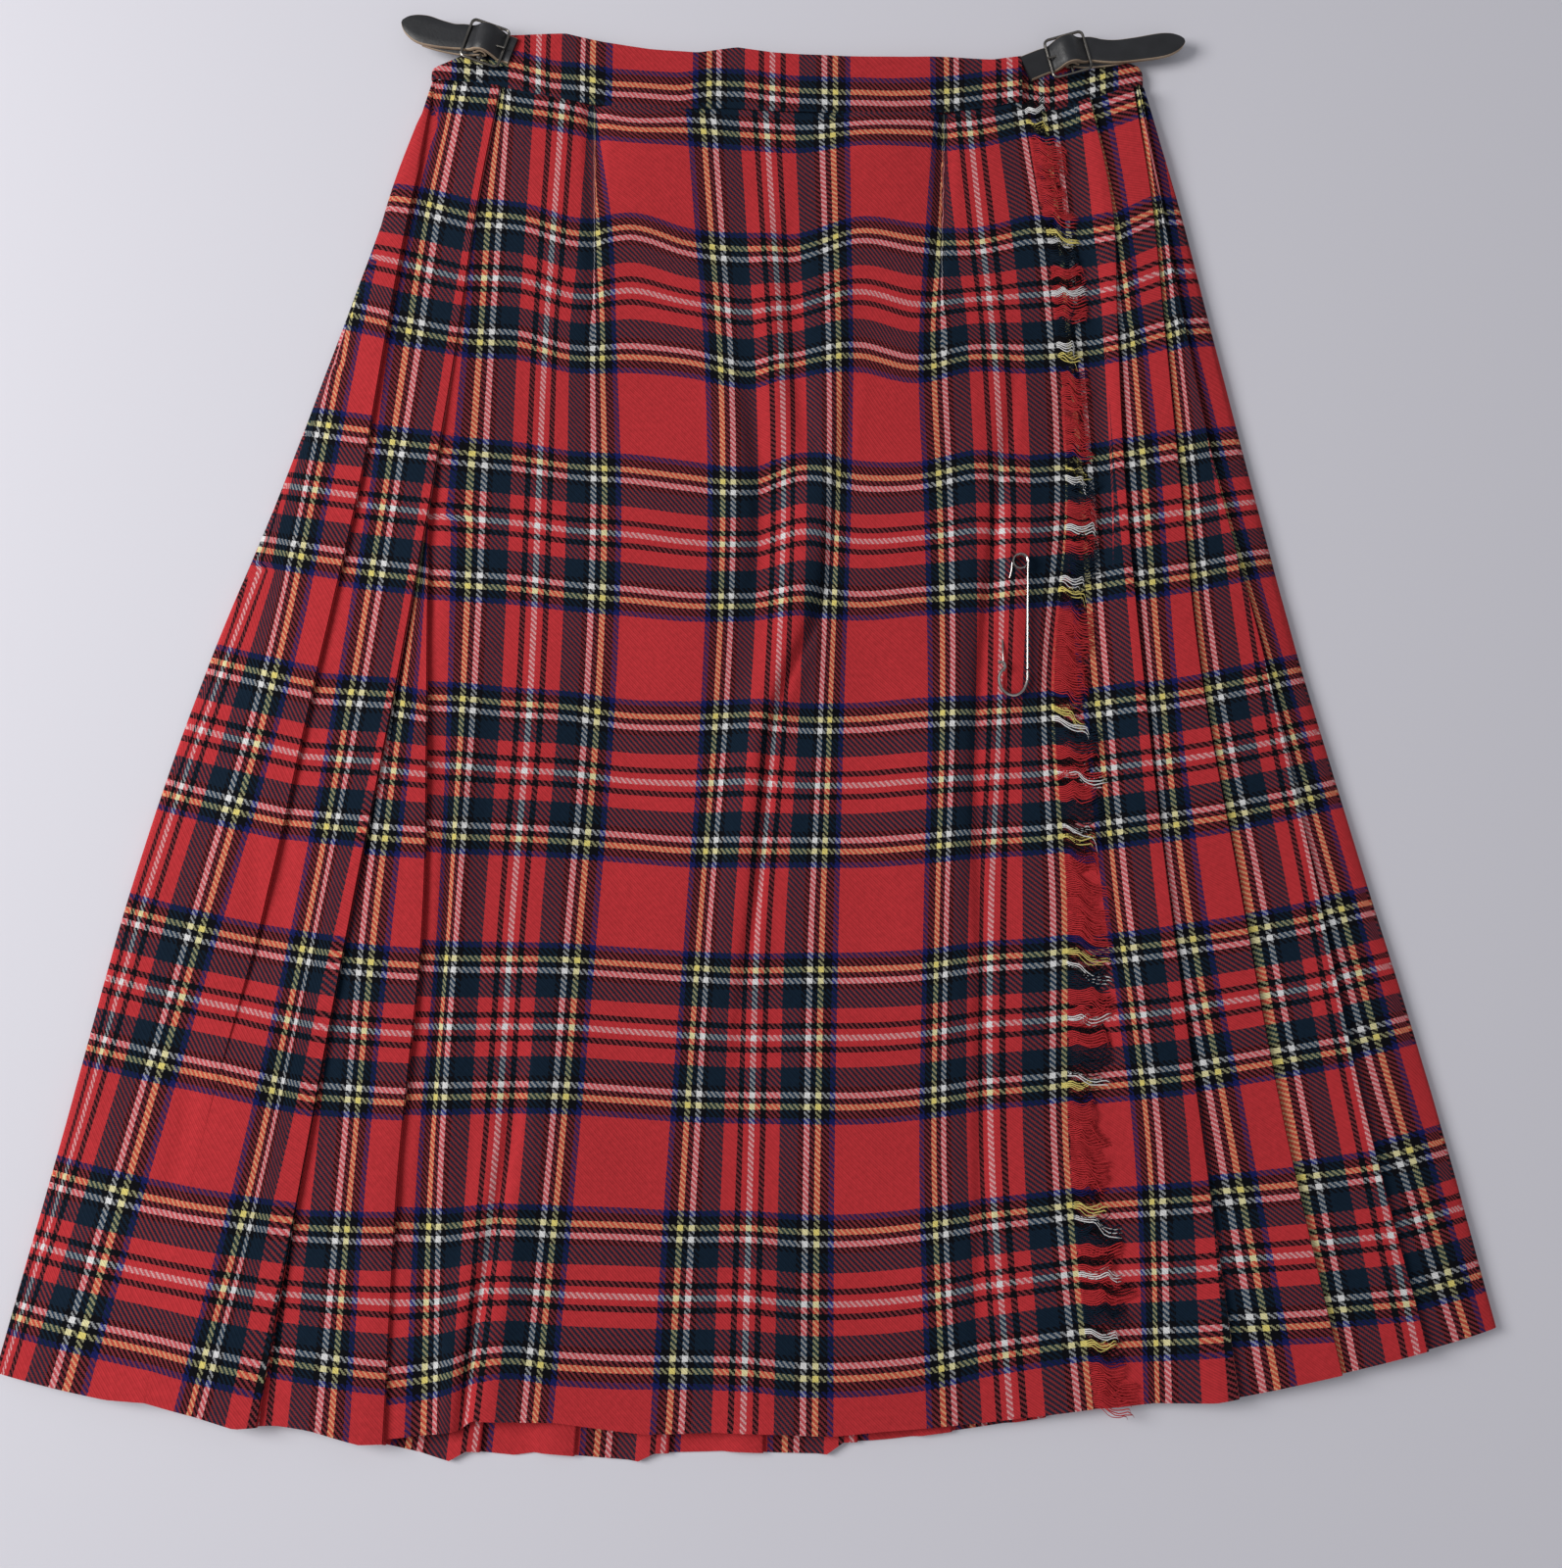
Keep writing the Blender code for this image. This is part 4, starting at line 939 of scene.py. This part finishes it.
def front_lines(x, y, low):
    """Weft threads of the front band, whose yellow stripe wanders."""
    return -47.0 - (y - table(BAND_YELLOW, x)) / WEFT_THREAD


def plain_lines(x, y, low):
    return BAND_SEAM_WEFT - (y - low) / WEFT_THREAD


def make_band(name, *shape):
    return finish_piece(band(f"kilt_{name}", *shape), name, TARTAN)


def make_bands():
    """The band's three stretches, each wrapped round its end at the side where one shows."""
    front = arc(-169.4, 5.0, -2.3, 2.6, (-80, -40, 0, 40, 80))
    front += [(float(x), 7.9) for x in np.linspace(-168.5, 146.5, 106)]
    front = [(x, z, float(table(BAND_WARPS, x))) for x, z in front]
    under = [(float(x), 4.6, 117.5 + (float(x) - 177.0) / THREAD) for x in np.linspace(-118, 209.8, 90)]
    for point in arc(210.4, 3.4, 1.6, 1.2, (80, 40, 0, -40, -60)):
        under.append((*point, under[-1][2] + 1.0))
    back = [(float(x), 1.0, float(x) / THREAD) for x in np.linspace(-170, 212, 90)]
    return (make_band("waistband_front", front, BAND_FRONT_TOP, 16, front_lines, 21.0),
            make_band("waistband_under", under, BAND_UNDER_TOP, 12, plain_lines, 24.0),
            make_band("waistband_back", back, BAND_BACK_TOP, 10, plain_lines, 27.0))


set_up_view()
TARTAN = tartan("wool_tartan")
YARN = tartan("wool_yarn", yarn_only=True)
LEATHER = leather("black_leather")
RAW_EDGE = leather("raw_leather_edge", edge=True)
STEEL = steel("polished_steel", srgb(138, 134, 132), srgb(186, 182, 179))
# Buckle steel: darker partly for old nickel and partly as a painted dark reflection of a dim room
BUCKLE_STEEL = steel("old_steel_painted_dark", srgb(84, 80, 76), srgb(146, 142, 136))
UNDER_HEM = tuple((x, distance - 6) for x, distance in HEM_APRON)
APRON = make_panel("over_apron", apron_path, 190, SEAM, HEM_APRON, APRON_CREASES, 1.0, apron=True)
LEFT = make_panel("pleats_left", left_path, 190, SEAM, HEM_LEFT, LEFT_CREASES, 4.0)
RIGHT = make_panel("pleats_right", right_path, 190, SEAM, HEM_RIGHT, RIGHT_CREASES, 7.0)
BACK = make_panel("pleats_back", back_path, 100, SEAM, HEM_BACK, (), 12.0, HIDDEN_WALL, rough=0.25)
UNDER = make_panel("under_apron", under_path, 90, SEAM, UNDER_HEM, (), 15.0, HIDDEN_WALL, rough=0.2)
BANDS = make_bands()


# Fringe

FRINGE_REACH = (19.5, 19, 16, 17, 20, 21.5, 22.5, 23)  # length of the loose yarn at SHARES
FRINGE_YARNS = 900
FRINGE_END = 685.0  # distance of the last yarn
# Threads from the middle of a red block between which a yarn is bright, and past which it is dark
BRIGHT_YARN = ((40.5, 45.5), (48.5, 53.5), (87.5, 90.5))
DARK_YARN = 33.0
YARN_STEPS = 12


def lock_edges():
    """Where one lock of yarn ends and the next begins, counted in yarns."""
    edges = [0.0]
    while edges[-1] < FRINGE_YARNS:
        edges.append(edges[-1] + 9.0 + 4.5 * math.sin(len(edges) * 1.7))
    return edges


def yarn_route(i, lock, edges, share, dark, bright):
    """One loose yarn's points past its root: x to the right, y up the cloth, and height."""
    wander = noise.noise(Vector((i * 0.37, 3.0, 1.0)))
    lean = noise.noise(Vector((lock * 5.37, 5.0, 1.5)))
    phase = 9.0 * noise.noise(Vector((lock * 3.61, 2.3, 8.4)))
    twist = 5.0 * noise.noise(Vector((lock * 0.47, 4.0, 3.0)))
    reach = at_share(FRINGE_REACH, share) * (1.0 + 0.4 * lean) + 2.0 * wander
    if dark:
        reach *= 0.84
    if bright:
        reach *= 0.86
    middle = (edges[lock] + edges[lock + 1]) / 2
    mound = 1.0 - (2.0 * (i - middle) / (edges[lock + 1] - edges[lock])) ** 2
    pull = (i - middle) / FRINGE_YARNS * LENGTH * 0.96
    droop = (6.0 if dark else 0.5) + 9.0 * lean
    sink = -0.9 if bright else 0.0
    route = []
    for k in range(YARN_STEPS + 1):
        t = k / YARN_STEPS
        spin = twist * t + pull
        x = reach * (t - 0.12 * t * math.sin(t * 7.0 + phase))
        y = (1.6 if dark else 1.9) * math.sin(t * 10.0 + phase) * t ** 0.6
        y += 0.25 * math.sin(t * 28.0 + i * 2.4) * t - pull * t ** 0.8 - droop * t ** 1.4
        y += 0.8 * wander * t + 0.6 * math.cos(spin) * t
        z = 7.0 + 0.8 * math.sin(t * math.pi) - 1.0 * t + 0.4 * wander * math.sin(t * 7 + i * 0.9)
        z += 2.2 * (mound - 0.3) * min(1.0, 2.5 * t)
        z += (0.6 * math.sin(spin) + sink) * t
        route.append((x, y, z))
    return route


def add_yarn(route, radius, verts, faces):
    """A four-sided tube along the route, thinner at its tip."""
    base = len(verts)
    end = base + YARN_STEPS * 4
    for k, (x, y, z) in enumerate(route):
        size = radius * (1.0 if k < YARN_STEPS else 0.4)
        for turn in range(4):
            angle = math.pi / 2 * turn + 0.4
            verts.append((x * MM, (y + size * math.cos(angle)) * MM, (z + size * math.sin(angle)) * MM))
    for row in range(base, end, 4):
        for turn in range(4):
            a, b = row + turn, row + (turn + 1) % 4
            faces.append((a, b, b + 4, a + 4))
    faces.append((base + 3, base + 2, base + 1, base))
    faces.append((end, end + 1, end + 2, end + 3))


def make_fringe():
    """Loose weft yarns past the apron's edge, lying in small wavy locks."""
    verts, faces, uvs = [], [], []
    edges = lock_edges()
    lock = 0
    for i in range(FRINGE_YARNS):
        while edges[lock + 1] <= i:
            lock += 1
        share = (i + 0.5) / FRINGE_YARNS
        x = track("root", share) - 1.5
        start = table(SEAM, x) / LENGTH
        at = start + share * (FRINGE_END / LENGTH - start)
        y = float(level_y(x, at))
        thread = float(weft_at(at, float(curve(at, SAG_SHARES, [row[1][-1] for row in SAG]))))
        half = abs(thread % SETT - SETT * round(thread % SETT / SETT))
        dark = half > DARK_YARN
        bright = any(low < half < high for low, high in BRIGHT_YARN)
        route = yarn_route(i, lock, edges, share, dark, bright)
        radius = 0.26 if bright else (0.34 if dark else 0.36)
        add_yarn([(x + p[0], y + p[1], p[2]) for p in route], radius, verts, faces)
        uvs += [0.0, thread] * 4 * (YARN_STEPS * 4 + 2)
    mesh = bpy.data.meshes.new("kilt_fringe")
    mesh.from_pydata(verts, [], faces)
    mesh.uv_layers.new(name="threads").data.foreach_set("uv", uvs)
    mesh.shade_smooth()
    finish_piece(add_piece("kilt_fringe", mesh), "apron_fringe", YARN)


make_fringe()


# Straps and the tabs that hold the buckles, as rows of: distance along from the buckle's centre
# bar, distance across, height, width

STRAP_THICK = 2.3
CHAPE_THICK = 1.5
LEFT_STRAP = (
    (-15, -1.4, 1.2, 15), (-9, -1.6, 1.2, 15.5), (-6, -1.6, 4.0, 15.5), (-3, -1.5, 7.0, 15.5),
    (0, -1.3, 7.9, 15.5), (3, -1.1, 7.0, 15.5), (5.8, -0.9, 4.6, 15), (9.2, -0.5, 3.0, 14.5),
    (12.5, 0, 3.0, 14.3), (18, 1.5, 3.0, 14.2), (25.5, 2.4, 3.0, 15.4), (34, 2.6, 2.9, 16.4),
    (40, 2.2, 2.8, 13.6), (44.5, 1.8, 2.6, 8.6), (47, 1.6, 2.4, 2.4))
RIGHT_STRAP = (
    (-24, -1.8, 2.3, 14.5), (-14, 0.3, 1.3, 14.5), (-9, 0.6, 1.3, 15), (-6, 0.7, 4.0, 15.5),
    (-3, 0.9, 7.0, 15.5), (0, 1, 7.9, 15.5), (3, 1, 7.0, 15.5), (5.8, 0.8, 4.6, 15),
    (9.2, 0.7, 3.0, 14.4), (12.5, 0.3, 3.0, 13.8), (18, -2, 3.0, 13), (26, -4.4, 3.0, 13),
    (37.5, -5.9, 3.0, 13.4), (50, -6.8, 2.9, 13.8), (57, -7, 2.8, 11.4), (61.5, -7, 2.6, 6.8),
    (63.5, -7, 2.4, 2.4))
CHAPE_LOOP = (
    (0, 0, 1.7, 13), (-1.9, 0, 2.6, 13), (-2.3, 0, 4.0, 13), (-1.4, 0, 5.5, 13), (0.4, 0, 5.9, 13),
    (2.0, 0, 4.9, 13), (3.6, 0, 3.4, 13))
LEFT_CHAPE = (
    (33, 4.5, 1.1, 12.5), (24, 4.3, 1.1, 13), (14, 3.2, 1.1, 13), (7, 1.5, 1.1, 13),
    (3.2, 0.4, 1.5, 13), *CHAPE_LOOP, (6.0, 0.6, 2.6, 13))
RIGHT_CHAPE = (
    (37, -4.4, 1.1, 12.5), (26, -4.4, 1.1, 13), (14, -3.0, 1.1, 13), (7, -1.5, 1.1, 13),
    (3.2, -0.4, 1.5, 13), *CHAPE_LOOP, (6.0, -0.6, 2.6, 13))
# Where each centre bar lies: x, y, height, and the strap's turn from the x axis in degrees
FASTENINGS = {"left": (-142.7, 358.3, 8.6, 162.0, LEFT_STRAP, LEFT_CHAPE),
              "right": (171.6, 353.7, 5.4, 14.0, RIGHT_STRAP, RIGHT_CHAPE)}


def spline(points, steps):
    """Points on a smooth curve through all of the given ones."""
    points = np.array(points, dtype=float)
    padded = np.concatenate([points[:1], points, points[-1:]])
    made = []
    for index in range(len(points) - 1):
        p0, p1, p2, p3 = padded[index:index + 4]
        for step in range(steps):
            t = step / steps
            made.append(0.5 * (2 * p1 + (p2 - p0) * t + (2 * p0 - 5 * p1 + 4 * p2 - p3) * t ** 2
                               + (3 * p1 - p0 - 3 * p2 + p3) * t ** 3))
    made.append(points[-1])
    return np.array(made)


def ribbon(name, stations, thickness, place):
    """A strip of leather with raw cut edges, its corners a little rounded."""
    rows = spline(stations, 4)
    middle = rows[:, :3]
    along = np.gradient(middle, axis=0)
    along /= np.linalg.norm(along, axis=1, keepdims=True)
    across = np.tile((0.0, 1.0, 0.0), (len(rows), 1))
    across -= along * np.sum(across * along, axis=1, keepdims=True)
    across /= np.linalg.norm(across, axis=1, keepdims=True)
    up = np.cross(along, across)
    half = thickness / 2
    soft = 0.35
    section = [(1, -soft, half), (0.4, 0, half * 1.04), (-0.4, 0, half * 1.04), (-1, soft, half),
               (-1, 0, half - soft), (-1, 0, soft - half), (-1, soft, -half), (0, 0, -half),
               (1, -soft, -half), (1, 0, soft - half), (1, 0, half - soft)]
    edge_strips = {3, 4, 5, 8, 9, 10}
    verts, faces, marks = [], [], []
    for row, centre in enumerate(middle):
        for side, inset, height in section:
            point = centre + across[row] * (side * rows[row, 3] / 2 + inset) + up[row] * height
            verts.append(place @ Vector(point * MM))
    count = len(section)
    for row in range(len(rows) - 1):
        for index in range(count):
            after = (index + 1) % count
            a, b = row * count + index, row * count + after
            faces.append((a, b, b + count, a + count))
            marks.append(int(index in edge_strips))
    faces.append(tuple(range(count))[::-1])
    faces.append(tuple(range((len(rows) - 1) * count, len(rows) * count)))
    marks += [0, 0]
    mesh = bpy.data.meshes.new(name)
    mesh.from_pydata(verts, [], faces)
    mesh.materials.append(LEATHER)
    mesh.materials.append(RAW_EDGE)
    mesh.polygons.foreach_set("material_index", marks)
    mesh.update()
    mesh.shade_smooth()
    mesh.set_sharp_from_angle(angle=math.radians(50))
    return add_piece(name, mesh)


def make_fastenings():
    """The leather straps and chapes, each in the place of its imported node."""
    for side, (x, y, z, turn, strap, chape) in FASTENINGS.items():
        place = (Matrix.Translation(Vector((x, y, z)) * MM)
                 @ Matrix.Rotation(math.radians(turn), 4, "Z"))
        for kind, stations, thickness in (("strap", strap, STRAP_THICK), ("chape", chape, CHAPE_THICK)):
            made = ribbon(f"leather_{kind}_{side}", stations, thickness, place)
            finish_piece(made, f"{kind}_{side}")


def dress_nodes():
    """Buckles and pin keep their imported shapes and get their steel."""
    for names, look in ((("buckle_left", "buckle_right", "prong_left", "prong_right"), BUCKLE_STEEL),
                        (("kilt_pin", "kilt_pin_clasp"), STEEL)):
        for name in names:
            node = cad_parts[name]
            node.data.materials.clear()
            node.data.materials.append(look)


make_fastenings()
dress_nodes()
